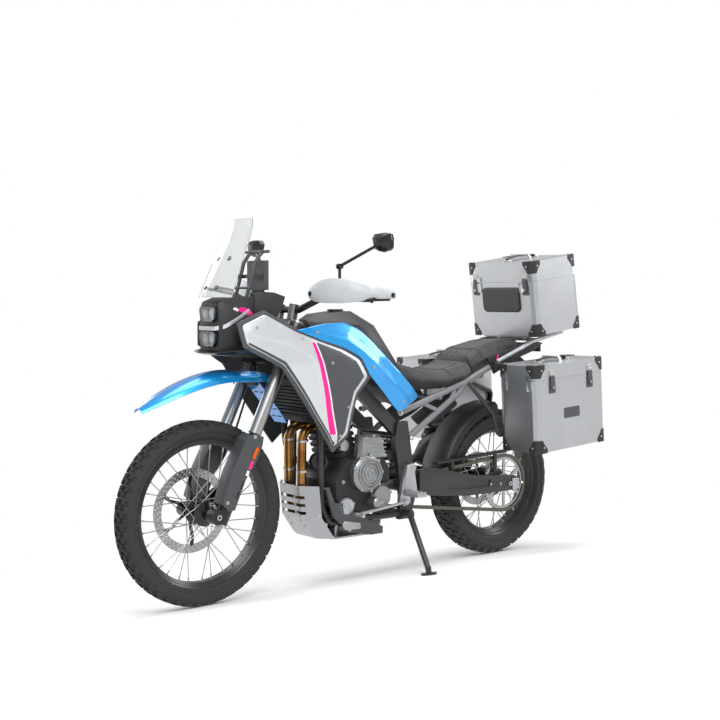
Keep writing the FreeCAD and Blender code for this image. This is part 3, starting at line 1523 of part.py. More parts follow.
def screen_solid(front):
    # Screen with a bent middle; a front reach turns it into the space before its inner face.
    rings = []
    for rise, half, middle, top_drop, back in screen_shares:
        z = screen_low_z + screen_height * rise
        x = screen_low_x - screen_height * rise * math.tan(math.radians(screen_lean))
        bow = [(0, 0), (0.3, -0.02), (half, back * half)]
        outer = [(x + front + screen_low_half * share, screen_low_half * y) for y, share in bow]
        right = [V(a, -y, z) for a, y in outer[::-1]]
        left = [V(a, y, z) for a, y in outer[1:]]
        back_line = [V(p.x - screen_wall - front, p.y, z) for p in (right + left)[::-1]]
        rings.append(right + left + back_line)
    return solid_between(rings)


seat_stations = ((0.0, 0.47, 0.23, 0.95), (0.26, 0.78, 0.18, 0.68), (0.57, 0.96, 0.18, 0.6),
                 (0.86, 1.0, 0.3, 0.74), (1.0, 0.94, 0.38, 0.95))
pillion_stations = ((0.0, 0.92, 0.0, 0.6), (0.22, 0.96, 0.2, 0.78), (0.57, 0.93, 0.45, 0.94),
                    (0.86, 0.8, 0.56, 1.0), (1.0, 0.66, 0.64, 0.98))
tail_shares = ((1.0, 0.48), (0.88, 0.0), (0.48, 0.42), (0.13, 0.66), (0.0, 0.86), (0.22, 0.96))
mudguard_shares = ((1.0, 0.98), (0.42, 0.52), (0.06, 0.0), (0.0, 0.03), (0.37, 0.56), (1.0, 1.03))


def cushion(stations, front, length, half, low, height):
    return solid_between([section(front - length * a, half * b, low + height * c,
                                  low + height * d, 0.72, 0.76) for a, b, c, d in stations])


def build_seats():
    front = tank_x - touch
    pieces["rider_seat"] = cushion(seat_stations, front, seat_length - tank_half * 0.1, seat_half,
                                   seat_z, seat_height)
    back = front - (seat_length - tank_half * 0.1) - touch
    pieces["pillion_seat"] = cushion(pillion_stations, back, pillion_length, pillion_half,
                                     pillion_z, pillion_height)
    for name in ("rider_seat", "pillion_seat"):
        pieces[name] = seated(pieces[name], pieces["subframe"], pieces["pannier_racks"])


def build_tail():
    inner = tail_inner + touch
    side = side_plate(traced(tail_shares, tail_x, tail_z, tail_length * 0.9, tail_height * 1.24),
                      inner, inner + disc_thickness * 1.6)
    rear = box(tail_x + disc_thickness * 2, tail_x + disc_thickness * 4, -inner - disc_thickness,
               inner + disc_thickness, tail_z + tail_height * 0.74, tail_z + tail_height * 1.05)
    floor = box(tail_x + disc_thickness * 2, tail_x + tail_length * 0.3, -rail_half * 0.8,
                rail_half * 0.8, tail_z + tail_height * 0.74, tail_z + tail_height * 0.82)
    tail = joined(both_sides(side) + [rear, floor])
    for name in ("luggage_rack", "subframe", "pillion_seat", "muffler", "pannier_racks"):
        tail = tail.cut(pieces[name])
    pieces["tail_panels"] = Part.makeCompound([s for s in tail.Solids
                                               if s.Volume > disc_band ** 3 * 0.2])
    floor_z = tail_z + tail_height * 0.74 - touch
    foot_z = floor_z - rear_radius * 0.86
    length = rear_radius * 1.02
    guard = side_plate([(tail_x + tail_length * 0.28 - length + length * a,
                         foot_z + (floor_z - foot_z) * b / 1.03) for a, b in mudguard_shares],
                       -mudguard_half, mudguard_half)
    pieces["rear_mudguard"] = seated(guard, pieces["pillion_seat"])
    lamp_z = tail_z + tail_height * 0.8
    lens_x = tail_x + disc_thickness * 2 - touch
    pieces["tail_lamp"] = solid_between([
        ring_at(x, [(-half, low), (half, low), (half * 0.9, high), (-half * 0.9, high)])
        for x, half, low, high in (
            (lens_x, lamp_width, lamp_z, lamp_z + lamp_width * 0.5),
            (lens_x - lamp_width * 0.3, lamp_width, lamp_z, lamp_z + lamp_width * 0.5),
            (lens_x - lamp_width * 0.45, lamp_width * 0.86, lamp_z + lamp_width * 0.08,
             lamp_z + lamp_width * 0.42))])


upper_shares = ((0, 0.908, 0.284), (0.474, 1, 0.581), (1, 0.954, 1.006))
lower_shares = ((0.073, 0.908, 0.006), (0.434, 1, 0.468), (0.485, 1, 0.59))
brace_shares = (((0.158, 0.954, 0.383), (0.286, 0.969, 0.275)),
                ((0.414, 1, 0.543), (0.369, 0.985, 0.386)),
                ((0.62, 0.99, 0.69), (0.47, 0.99, 0.53)))
rack_shares = ((0.704, 1.215, 0.815), (1, 1.215, 1.041), (1.35, 0.846, 1.152))
hoop_shares = ((0.5, 0.0, 0.602), (0.596, 1.0, 0.215), (0.636, 1.0, -0.033),
               (1.135, 1.0, -0.033), (1.168, 1.0, 0.353), (0.865, 0.56, 0.56),
               (0.784, -0.03, 0.831))


def build_subframe():
    corner = V(rail_x, 0, rail_z)
    size = V(-rail_length * 0.974, rail_half, rail_height)
    upper = placed(upper_shares, corner, size)
    rails = both_sides(tube(upper, rail_tube, pipe_bend))
    rails += both_sides(tube(placed(lower_shares, corner, size), rail_tube, pipe_bend))
    for shares in brace_shares:
        rails += both_sides(tube(placed(shares, corner, size), brace_tube))
    for share in (0.3, 0.62, 0.96):
        p = upper[0] + (upper[1] - upper[0]) * (share / 0.474)
        if share > 0.474:
            p = upper[1] + (upper[2] - upper[1]) * ((share - 0.474) / 0.526)
        rails.append(bar(V(p.x, -p.y, p.z - brace_tube * 2), V(p.x, p.y, p.z - brace_tube * 2),
                         brace_tube))
        rails += both_sides(bar(V(p.x, p.y, p.z - brace_tube * 2), p, brace_tube))
    frame = joined(rails).cut(pieces["main_frame"])
    pieces["subframe"] = max(frame.Solids, key=lambda solid: solid.Volume)
    half = placed(rack_shares, corner, size)
    loop = half + [V(p.x, -p.y, p.z) for p in half[::-1]]
    rack = [tube(loop, rack_tube, pipe_bend * 0.6)]
    for p, share in ((half[0], 0.72), (half[1], 0.99)):
        q = upper[1] + (upper[2] - upper[1]) * ((share - 0.474) / 0.526)
        rack += both_sides(bar(V(p.x - rack_tube, p.y, p.z), V(q.x, q.y, q.z), rack_tube * 0.8))
    case_floor = box(-top_length * 0.46, top_length * 0.46, -top_width * 0.36, top_width * 0.36,
                     -plate_wall - touch, -touch)
    rack.append(place_case(case_floor, top_front_x, top_low_z, -top_pitch, 0, top_length))
    for share in (0.16, 0.78):
        p = half[1] + (half[2] - half[1]) * share
        rack.append(bar(V(p.x, -p.y, p.z), V(p.x, p.y, p.z), rack_tube * 0.8))
        lift = top_low_z - plate_wall - p.z + (top_front_x - p.x) * math.tan(
            math.radians(top_pitch))
        for side in (1, -1):
            rack.append(box(p.x - rack_tube, p.x + rack_tube, side * top_width * 0.2 - rack_tube,
                            side * top_width * 0.2 + rack_tube, p.z, p.z + max(lift, rack_tube)))
    whole = joined(rack).cut(pieces["subframe"]).cut(case_solid("top"))
    pieces["luggage_rack"] = max(whole.Solids, key=lambda solid: solid.Volume)
    hoop_y = pannier_inner_y - rack_tube - touch
    hoops = []
    reach = V(size.x, hoop_y - rail_half, size.z)
    route = placed(hoop_shares, corner + V(0, rail_half, 0), reach)
    for side in (1, -1):
        hoop = tube([V(p.x, side * p.y, p.z) for p in route], rack_tube, rack_tube * 2.6)
        mid = V(corner.x + size.x * 0.9, side * hoop_y, corner.z + size.z * 0.1)
        tie = bar(V(route[2].x, side * hoop_y, mid.z), V(route[3].x, side * hoop_y, mid.z),
                  rack_tube * 0.7)
        whole = joined([hoop, tie])
        for name in ("subframe", "luggage_rack", "tail_panels"):
            if name in pieces:
                whole = whole.cut(pieces[name])
        hoops.append(max(whole.Solids, key=lambda solid: solid.Volume))
    pieces["pannier_racks"] = Part.makeCompound(hoops)


arm_shares = ((1.0, 0.97), (0.87, 1.0), (0.43, 0.59), (0.03, 0.44), (0.0, 0.17), (0.04, 0.0),
              (0.53, 0.01), (0.87, 0.16), (1.0, 0.24))


def build_rear():
    arm = side_plate(traced(arm_shares, arm_x, arm_z, arm_length, arm_height), arm_inner,
                     arm_inner + arm_wall)
    window = side_plate(traced(shrunk(arm_shares, 0.45), arm_x, arm_z, arm_length,
                               arm_height), arm_inner + arm_wall * 0.7, arm_inner + arm_wall * 2)
    arm = arm.cut(window)
    front = arm_x + arm_length
    pivot = V(pivot_x, 0, pivot_z)
    eye = axle_radius * 2.1
    root = box(front - arm_wall * 1.6, pivot_x + eye * 0.4, arm_inner - arm_wall, arm_inner
               - touch, pivot_z - eye * 0.9, pivot_z + eye)
    knee = box(front - arm_wall * 1.6, front - seam * 0.4, bridge_half * 0.9, arm_inner
               + arm_wall * 0.5, pivot_z - eye * 0.9, pivot_z + eye)
    bridge = box(front - arm_wall * 4.4, front - arm_wall * 0.6, -bridge_half, bridge_half,
                 pivot_z - bridge_height * 0.3, pivot_z + bridge_height * 0.7)
    tunnel = bar(pivot - V(0, arm_inner - touch, 0), pivot + V(0, arm_inner - touch, 0), eye)
    whole = joined(both_sides(arm) + both_sides(root) + both_sides(knee) + [bridge, tunnel])
    axle = rod(rear_axle - V(0, body_half, 0), rear_axle + V(0, body_half, 0), axle_radius
               + running)
    shaft = rod(pivot - V(0, body_half, 0), pivot + V(0, body_half, 0), axle_radius + running)
    pieces["swingarm"] = whole.cut(axle).cut(shaft).cut(pieces["chain"])
    low = V(bridge_middle(), 0, pivot_z + bridge_height * 0.5)
    first = spar_stations()[0]
    high = V(first[0] + frame_tube * 2, 0, first[2])
    run = (high - low).normalize()
    shock = [bar(low, high, shock_radius * 0.55)]
    for turn in range(spring_turns):
        spot = low + (high - low) * (0.16 + 0.66 * turn / spring_turns)
        shock.append(bar(spot, spot + run * (shock_radius * 0.34), shock_radius, clamp_sides))
    pieces["rear_shock"] = seated(joined(shock), pieces["swingarm"], pieces["main_frame"])
    build_rear_guards()


def bridge_middle():
    return arm_x + arm_length - arm_wall * 2.1


def build_rear_guards():
    radius = rear_radius + hugger_gap
    half = hugger_half
    across = ((-1, -0.08), (-1, 0.0), (-0.78, 0.04), (0.78, 0.04), (1, 0.0), (1, -0.08))
    rings = []
    for step in range(7):
        angle = math.radians(82 - 13 * step)
        outer = [(radius * (1 + r), half * y) for y, r in across]
        inner = [(r - hugger_wall, y * (1 - hugger_wall / half)) for r, y in outer[::-1]]
        inner[0] = (outer[-1][0], inner[0][1])
        inner[-1] = (outer[0][0], inner[-1][1])
        rings.append(wheel_ring(outer + inner, rear_axle, angle))
    tongue_x = rear_axle.x + radius * math.sin(math.radians(82))
    tongue_z = rear_axle.z + radius * math.cos(math.radians(82))
    back = arm_x + arm_length - arm_wall * 4.4
    tongue = box(tongue_x - hugger_wall * 0.5, back - touch, -half * 0.5, half * 0.5,
                 tongue_z - hugger_wall, tongue_z + hugger_wall * 2)
    hugger = joined([solid_between(rings), tongue])
    tall = chain_height * 0.7
    drive = chain_pitch / 2 / math.sin(math.pi / rear_teeth)
    top = rear_axle.z + drive + chain_height
    guard = side_plate([(rear_axle.x, top), (rear_axle.x + drive * 3.4, top - chain_height * 1.2),
                        (rear_axle.x + drive * 3.4, top - chain_height * 0.5),
                        (rear_axle.x, top + tall)], chain_offset - chain_width * 0.8,
                       arm_inner + arm_wall * 0.3)
    tabs = []
    for share in (0.5, 2.6):
        x = rear_axle.x + drive * share
        tabs.append(side_plate([(x, top - chain_height * 0.2), (x, arm_z + arm_height * 0.3),
                                (x + chain_width, arm_z + arm_height * 0.3),
                                (x + chain_width, top - chain_height * 0.2)],
                               arm_inner + touch, arm_inner + arm_wall * 0.3))
    guard = joined([guard] + tabs).cut(pieces["swingarm"])
    guard = max(guard.Solids, key=lambda solid: solid.Volume)
    pieces["rear_guards"] = Part.makeCompound([hugger, guard])


hanger_shares = ((0.0, 0.94), (0.49, 1.0), (0.8, 0.62), (1.0, 0.12), (0.74, 0.0), (0.38, 0.06),
                 (0.36, 0.5))


def build_foot_controls():
    near = plate_outer + touch
    hanger = side_plate(traced(hanger_shares, hanger_x, hanger_z, hanger_length, hanger_height),
                        near, near + hanger_wall)
    pivot = V(pivot_x, 0, pivot_z)
    hanger = hanger.cut(rod(pivot, pivot + V(0, body_half, 0), axle_radius * 1.3))
    out = near + hanger_wall
    middle = hanger_x + hanger_length * 0.55
    peg = solid_between([
        [V(middle - peg_width * a, y, z) for a, z in (
            (0.5, peg_z), (0.5, peg_z + peg_height * 0.6), (-0.5, peg_z + peg_height * 0.6),
            (-0.5, peg_z))] for y in (out - hanger_wall * 0.5, out + peg_length)])
    spikes = []
    for step in range(4):
        y = out + peg_length * (0.16 + 0.24 * step)
        spikes.append(box(middle - peg_width * 0.5, middle + peg_width * 0.5, y,
                          y + hanger_wall * 0.3, peg_z, peg_z + peg_height))
    hang = joined([hanger, peg] + spikes)
    axle = V(hanger_x + hanger_length * 0.76, out - hanger_wall * 0.5, hanger_z + peg_height)
    tip = axle + V(lever_reach * 1.3, hanger_wall * 2.2, -peg_height)
    knuckle = axle + V(0, hanger_wall * 1.2, 0)
    lever = joined([bar(axle, knuckle + V(0, shaft_radius, 0), shaft_radius * 1.4),
                    tube([knuckle, tip], shaft_radius * 0.8),
                    bar(tip - V(0, shaft_radius * 0.8, 0), tip + V(0, peg_width * 0.8, 0),
                        shaft_radius)])
    whole = seated(joined([hang, lever]), pieces["engine_covers"])
    pieces["foot_controls"] = Part.makeCompound(both_sides(whole))


ground = {}


def stand_ground_z():
    # Height in the upright machine of the ground under the stand's foot.
    return (ground["low"] + stand_foot_y * math.sin(lean)) / math.cos(lean)


def stand_pivot():
    return V(stand_pivot_x, stand_pivot_y, stand_pivot_z)


def stand_axis():
    # The hinge axis and angle that carry the leg from the ground to its folded place.
    leg = (V(stand_foot_x, stand_foot_y, stand_ground_z()) - stand_pivot()).normalize()
    folded = V(-1, stand_fold_out, stand_fold_up).normalize()
    across = (leg - folded).normalize()
    axis = (sideways - across * sideways.dot(across)).normalize()
    a = leg - axis * leg.dot(axis)
    b = folded - axis * folded.dot(axis)
    return axis, math.degrees(a.getAngle(b))


def build_stand():
    low = V(stand_foot_x, stand_foot_y, stand_ground_z())
    up = V(0, -math.sin(lean), math.cos(lean))
    pivot = stand_pivot()
    axis, swing = stand_axis()
    high = low + up * (stand_foot_wall + stand_radius)
    leg = tube([pivot + (high - pivot).normalize() * stand_radius, high], stand_radius)
    foot = bar(low, low + up * stand_foot_wall, stand_foot_radius, clamp_sides)
    ankle = bar(low + up * stand_foot_wall / 2, low + up * (stand_foot_wall + 2 * stand_radius),
                stand_radius)
    half = axis * stand_eye_half
    eye = bar(pivot - half, pivot + half, stand_radius * 1.5, clamp_sides)
    bore = rod(pivot - half * 2, pivot + half * 2, stand_pin_radius + running)
    print("stand", axis.x, axis.y, axis.z, swing)
    pieces["side_stand"] = joined([leg, foot, ankle, eye]).cut(bore)


# Cases
def corner_ring(length, width, corner, z):
    ring = []
    for quarter, (sx, sy) in enumerate(((1, 1), (-1, 1), (-1, -1), (1, -1))):
        centre = V(sx * (length / 2 - corner), sy * (width / 2 - corner), z)
        for step in range(case_corner_steps + 1):
            angle = math.pi / 2 * (quarter + step / case_corner_steps)
            ring.append(centre + V(corner * math.cos(angle), corner * math.sin(angle), 0))
    return ring


def rounded_block(length, width, low, high, corner):
    return prism(corner_ring(length, width, corner, low), V(0, 0, high - low))


def case_shell(length, width, low, high, floor, roof):
    # Open box with rounded upright edges and walls one case_wall thick.
    outer = rounded_block(length, width, low, high, case_round)
    inner = rounded_block(length - 2 * case_wall, width - 2 * case_wall,
                          low + (case_wall if floor else -overrun),
                          high - (case_wall if roof else -overrun), case_round - case_wall)
    return outer.cut(inner)


def hinge_line(length, depth):
    return V(-length / 2 - hinge_out, 0, depth + lid_gap / 2)


def hinged(length, width, depth, lid):
    # The box and the lid of one case, with a long hinge across the rear.
    wall_x = -length / 2
    line = hinge_line(length, depth)
    pin = hinge_radius * 0.5
    half = width * hinge_spread
    knuckle = hinge_length / 2
    lower = [case_shell(length, width, 0, depth, True, False)]
    upper = [case_shell(length, width, depth + lid_gap, depth + lid, False, True)]
    for y in (-half, half):
        middle = line + V(0, y, 0)
        for a, b in ((-knuckle, -knuckle * 0.34), (knuckle * 0.34, knuckle)):
            lower.append(bar(middle + V(0, a, 0), middle + V(0, b, 0), hinge_radius))
            lower.append(box(line.x - hinge_radius * 0.6, wall_x + case_wall * 0.5, y + a, y + b,
                             depth - hinge_length * 0.6, depth - hinge_radius * 0.4))
        lower.append(bar(middle - V(0, knuckle, 0), middle + V(0, knuckle, 0), pin))
        inner = knuckle * 0.34 - touch
        ear = bar(middle - V(0, inner, 0), middle + V(0, inner, 0), hinge_radius)
        leaf = box(line.x - hinge_radius * 0.6, wall_x + case_wall * 0.5, y - inner, y + inner,
                   depth + hinge_radius * 0.4, depth + hinge_length * 0.5)
        bore = bar(middle - V(0, knuckle, 0), middle + V(0, knuckle, 0), pin * 1.2)
        upper.append(joined([ear, leaf]).cut(bore))
    for y in (-half * 1.2, half * 1.2):
        plate = case_wall * 1.5
        lower.append(box(-wall_x - case_wall * 0.5, plate - wall_x, y - knuckle * 0.5,
                         y + knuckle * 0.5, depth - hinge_length, depth - seam))
        upper.append(box(-wall_x - case_wall * 0.5, plate - wall_x, y - knuckle * 0.5,
                         y + knuckle * 0.5, depth + seam, depth + hinge_length * 0.5))
    top = depth + lid
    span = min(width * 0.5, hinge_length * 3)
    handle = tube([V(0, -span / 2, top - case_wall * 0.5), V(0, -span * 0.4, top + hinge_length
                                                            * 0.4),
                   V(0, span * 0.4, top + hinge_length * 0.4), V(0, span / 2,
                                                                top - case_wall * 0.5)],
                  hinge_radius * 1.2)
    handle = handle.cut(rounded_block(length, width, depth + lid_gap, top, case_round))
    upper.append(handle)
    return joined(lower), joined(upper)


def place_case(shape, front_x, low_z, pitch, middle_y, length):
    tilted = turned(shape, V(length / 2, 0, 0), sideways, -pitch)
    return moved(tilted, front_x - length / 2, middle_y, low_z)


def case_solid(kind):
    block = box(-top_length / 2, top_length / 2, -top_width / 2, top_width / 2, 0, top_depth)
    return place_case(block, top_front_x, top_low_z, -top_pitch, 0, top_length)


def build_cases():
    lower, upper = hinged(pannier_length, pannier_width, pannier_depth, pannier_lid)
    middle = pannier_inner_y + pannier_width / 2
    for name, side in (("left", 1), ("right", -1)):
        for kind, shape in (("box", lower), ("lid", upper)):
            pieces["pannier_%s_%s" % (kind, name)] = place_case(
                shape, pannier_front_x, pannier_low_z, -pannier_pitch, side * middle,
                pannier_length)
    lower, upper = hinged(top_length, top_width, top_depth, top_lid)
    pieces["top_case_box"] = place_case(lower, top_front_x, top_low_z, -top_pitch, 0, top_length)
    pieces["top_case_lid"] = place_case(upper, top_front_x, top_low_z, -top_pitch, 0, top_length)


def hinge_point(front_x, low_z, pitch, middle_y, length, depth):
    eye = Part.Vertex(hinge_line(length, depth))
    return place_case(eye, front_x, low_z, pitch, middle_y, length).Point


def report_joints(shift):
    # Joint places in the finished frame, in millimetres.
    middle = pannier_inner_y + pannier_width / 2
    opening = V(0, -1, 0)
    places = {
        "steering": (head_point, steer_up),
        "front_wheel": (front_axle, sideways),
        "rear_wheel": (rear_axle, sideways),
        "side_stand": (stand_pivot(), stand_axis()[0]),
        "swing_pivot": (V(pivot_x, 0, pivot_z), sideways),
        "pannier_left": (hinge_point(pannier_front_x, pannier_low_z, -pannier_pitch, middle,
                                     pannier_length, pannier_depth), opening),
        "pannier_right": (hinge_point(pannier_front_x, pannier_low_z, -pannier_pitch, -middle,
                                      pannier_length, pannier_depth), opening),
        "top_case": (hinge_point(top_front_x, top_low_z, -top_pitch, 0, top_length, top_depth),
                     opening),
    }
    rest = FreeCAD.Rotation(V(1, 0, 0), -lean_angle)
    for name, (point, axis) in places.items():
        place = rest.multVec(point) + shift
        way = rest.multVec(axis)
        print("joint", name, place.x, place.y, place.z, way.x, way.y, way.z)


def lowest(names):
    leaned = [turned(pieces[name], origin, V(1, 0, 0), -lean_angle) for name in names]
    return min(shape.optimalBoundingBox().ZMin for shape in leaned)


def park(shapes):
    # Lean the whole machine to its left, set the tyres on the ground and centre it.
    leaned = {}
    for name, shape in shapes.items():
        leaned[name] = turned(shape, origin, V(1, 0, 0), -lean_angle)
    bounds = FreeCAD.BoundBox()
    for shape in leaned.values():
        bounds.add(shape.optimalBoundingBox())
    shift = V(-bounds.Center.x, -bounds.Center.y, -ground["low"])
    print("size", bounds.XLength, bounds.YLength, bounds.ZMax + shift.z)
    print("shift", shift.x, shift.y, shift.z, "lowest", bounds.ZMin + shift.z)
    report_joints(shift)
    for shape in leaned.values():
        shape.translate(shift)
    return leaned


def main():
    build_wheels()
    ground["low"] = lowest(("front_tyre", "rear_tyre"))
    build_chain()
    build_frame()
    build_fork()
    build_controls()
    pieces["fork_guards"] = Part.makeCompound([fork_guard(side) for side in (1, -1)])
    build_fender()
    build_brakes()
    build_engine()
    build_radiator()
    build_subframe()
    build_exhaust()
    build_skid()
    build_bodywork()
    build_cowl()
    build_seats()
    build_tail()
    build_rear()
    build_foot_controls()
    build_stand()
    build_cases()
    os.makedirs("parts", exist_ok=True)
    for name, shape in park(pieces).items():
        if not shape.isValid():
            print("invalid", name)
        shape.exportStep("parts/%s.step" % name)
    print(len(pieces), "pieces")


main()
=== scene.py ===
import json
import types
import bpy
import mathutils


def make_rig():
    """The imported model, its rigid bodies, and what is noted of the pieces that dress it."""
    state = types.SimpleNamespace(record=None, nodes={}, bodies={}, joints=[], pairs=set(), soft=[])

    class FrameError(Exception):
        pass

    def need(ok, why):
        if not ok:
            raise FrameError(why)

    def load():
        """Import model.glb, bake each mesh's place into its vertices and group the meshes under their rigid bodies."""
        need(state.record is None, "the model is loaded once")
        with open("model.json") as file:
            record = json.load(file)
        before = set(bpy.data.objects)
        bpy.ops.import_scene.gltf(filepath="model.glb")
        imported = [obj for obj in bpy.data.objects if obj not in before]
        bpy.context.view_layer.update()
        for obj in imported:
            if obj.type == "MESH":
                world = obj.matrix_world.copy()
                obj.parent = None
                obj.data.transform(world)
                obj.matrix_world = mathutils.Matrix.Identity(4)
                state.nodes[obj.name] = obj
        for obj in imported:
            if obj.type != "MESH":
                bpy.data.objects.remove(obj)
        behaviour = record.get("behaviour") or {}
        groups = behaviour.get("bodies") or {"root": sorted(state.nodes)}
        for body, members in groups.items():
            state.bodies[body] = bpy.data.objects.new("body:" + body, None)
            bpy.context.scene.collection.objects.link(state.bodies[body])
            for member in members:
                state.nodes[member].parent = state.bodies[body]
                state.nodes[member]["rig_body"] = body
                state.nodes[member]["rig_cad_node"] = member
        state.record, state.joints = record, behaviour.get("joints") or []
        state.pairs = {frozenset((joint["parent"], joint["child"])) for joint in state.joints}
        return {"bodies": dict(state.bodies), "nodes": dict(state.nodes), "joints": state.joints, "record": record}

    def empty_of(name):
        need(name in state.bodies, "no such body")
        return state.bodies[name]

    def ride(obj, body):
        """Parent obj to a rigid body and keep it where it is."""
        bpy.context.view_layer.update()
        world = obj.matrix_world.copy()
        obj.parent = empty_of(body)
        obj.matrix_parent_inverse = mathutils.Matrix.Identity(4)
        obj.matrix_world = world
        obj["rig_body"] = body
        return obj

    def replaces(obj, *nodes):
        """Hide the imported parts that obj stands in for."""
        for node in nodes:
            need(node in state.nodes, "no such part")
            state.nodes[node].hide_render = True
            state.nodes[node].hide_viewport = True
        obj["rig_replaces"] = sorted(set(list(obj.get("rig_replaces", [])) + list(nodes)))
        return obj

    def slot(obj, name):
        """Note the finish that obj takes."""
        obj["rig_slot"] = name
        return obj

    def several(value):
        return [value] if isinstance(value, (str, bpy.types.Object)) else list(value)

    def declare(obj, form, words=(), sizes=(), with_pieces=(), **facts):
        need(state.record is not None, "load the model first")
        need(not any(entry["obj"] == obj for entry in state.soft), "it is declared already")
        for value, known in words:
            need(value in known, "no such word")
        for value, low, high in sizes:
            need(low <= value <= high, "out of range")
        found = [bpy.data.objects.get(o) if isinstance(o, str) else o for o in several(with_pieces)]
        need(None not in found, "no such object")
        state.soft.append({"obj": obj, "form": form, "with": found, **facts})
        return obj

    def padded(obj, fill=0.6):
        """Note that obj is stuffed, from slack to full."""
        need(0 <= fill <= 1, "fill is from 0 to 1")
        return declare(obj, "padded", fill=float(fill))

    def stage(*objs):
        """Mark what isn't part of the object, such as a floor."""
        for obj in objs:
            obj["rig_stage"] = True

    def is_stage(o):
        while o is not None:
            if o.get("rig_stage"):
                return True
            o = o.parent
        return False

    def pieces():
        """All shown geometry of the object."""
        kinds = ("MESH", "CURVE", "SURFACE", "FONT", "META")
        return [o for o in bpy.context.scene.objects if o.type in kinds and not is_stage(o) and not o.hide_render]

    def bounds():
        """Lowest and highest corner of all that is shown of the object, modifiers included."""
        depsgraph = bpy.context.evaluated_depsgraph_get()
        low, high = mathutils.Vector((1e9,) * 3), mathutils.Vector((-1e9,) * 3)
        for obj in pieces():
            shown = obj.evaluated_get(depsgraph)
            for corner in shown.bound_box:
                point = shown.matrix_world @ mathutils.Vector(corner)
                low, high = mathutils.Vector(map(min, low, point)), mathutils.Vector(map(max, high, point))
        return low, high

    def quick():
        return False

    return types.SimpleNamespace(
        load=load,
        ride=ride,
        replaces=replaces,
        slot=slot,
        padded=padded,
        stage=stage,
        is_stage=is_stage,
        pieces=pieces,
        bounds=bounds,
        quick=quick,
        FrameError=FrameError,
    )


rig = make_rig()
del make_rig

bl_info = {
    "name": "Adventure Motorcycle",
    "version": (1, 0, 0),
    "blender": (4, 5, 0),
    "location": "3D View > Sidebar > Motorcycle",
    "description": "Finishes, soft parts and small fittings of an adventure motorcycle on its side stand",
    "category": "Object",
}

import json
import math
import sys

import bmesh
import bpy
from mathutils import Matrix, Vector, geometry
from mathutils.bvhtree import BVHTree

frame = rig.load()
cad_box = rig.bounds()

# The machine is described upright, in millimetres, with the origin on the ground
# below the frame, and leans on its stand in the row frame.
lean = math.radians(9.5)
rear_axle_mm = Vector((-752.5, 0.0, 326.5))
axles = {joint["name"]: Vector(joint["pos_m"]) for joint in frame["joints"]}
upright = Matrix.Rotation(-lean, 3, "X")
origin = axles["rear_wheel"] - upright @ (rear_axle_mm / 1000)
upright_to_row = Matrix.Translation(origin) @ upright.to_4x4() @ Matrix.Scale(0.001, 4)
row_to_upright = upright_to_row.inverted()
body_of = {name: body for body, names in frame["record"]["behaviour"]["bodies"].items()
           for name in names}
both = (1, -1)
finishes = {}
surfaces = {}


def length(name, description, default):
    """A size in millimetres that a user may change."""
    return bpy.props.FloatProperty(name=name, description=description, default=default / 1000,
                                   min=0.0, unit="LENGTH")


def colour(name, description, default):
    """An sRGB hex colour that a user may change."""
    return bpy.props.StringProperty(name=name, description=description, default=default)


class MotorcycleSizes(bpy.types.PropertyGroup):
    """Sizes that a user would change"""
    block_height: length("Tread blocks", "Height of the tyre blocks", 7.5)
    spoke_width: length("Spokes", "Diameter of a spoke wire", 3.8)
    stripe_width: length("Stripe", "Width of the magenta stripe on the side panels", 15.0)
    seat_swell: length("Seat swell", "How far the seat covers may swell", 9.0)
    stitch: length("Stitches", "Length of one seam stitch", 5.0)
    screw_size: length("Panel screws", "Radius of a panel screw head", 4.6)


class MotorcycleColours(bpy.types.PropertyGroup):
    """Colours that a user would change, as sRGB hex"""
    blue: colour("Blue", "Metallic blue of the fender and tank panels", "18A6EC")
    silver: colour("Silver", "Light silver of the side panels", "D2D5D8")
    magenta: colour("Magenta", "Stripes and flashes", "FF0A86")
    gold: colour("Headers", "Heat tint of the exhaust headers", "B98A4A")


def size(name):
    """A user's size, in millimetres."""
    return getattr(bpy.context.scene.motorcycle_sizes, name) * 1000


def shade(hex_colour, by=1.0, plus=0.0):
    """An sRGB hex colour as linear light, made lighter or darker."""
    parts = [int(hex_colour[i:i + 2], 16) / 255 for i in (0, 2, 4)]
    linear = [c / 12.92 if c <= 0.04045 else ((c + 0.055) / 1.055) ** 2.4 for c in parts]
    return (*(min(1.0, c * by + plus) for c in linear), 1.0)


def add(tree, kind, inputs=None, **settings):
    """One shader node with its settings, its values and its links."""
    node = tree.nodes.new("ShaderNode" + kind)
    for name, value in settings.items():
        setattr(node, name, value)
    for socket, value in (inputs or {}).items():
        if isinstance(value, bpy.types.NodeSocket):
            tree.links.new(value, node.inputs[socket])
        else:
            node.inputs[socket].default_value = value
    return node


def per_mm(width):
    """The texture scale, in repeats a metre, of a pattern this many millimetres wide."""
    return 1000.0 / width


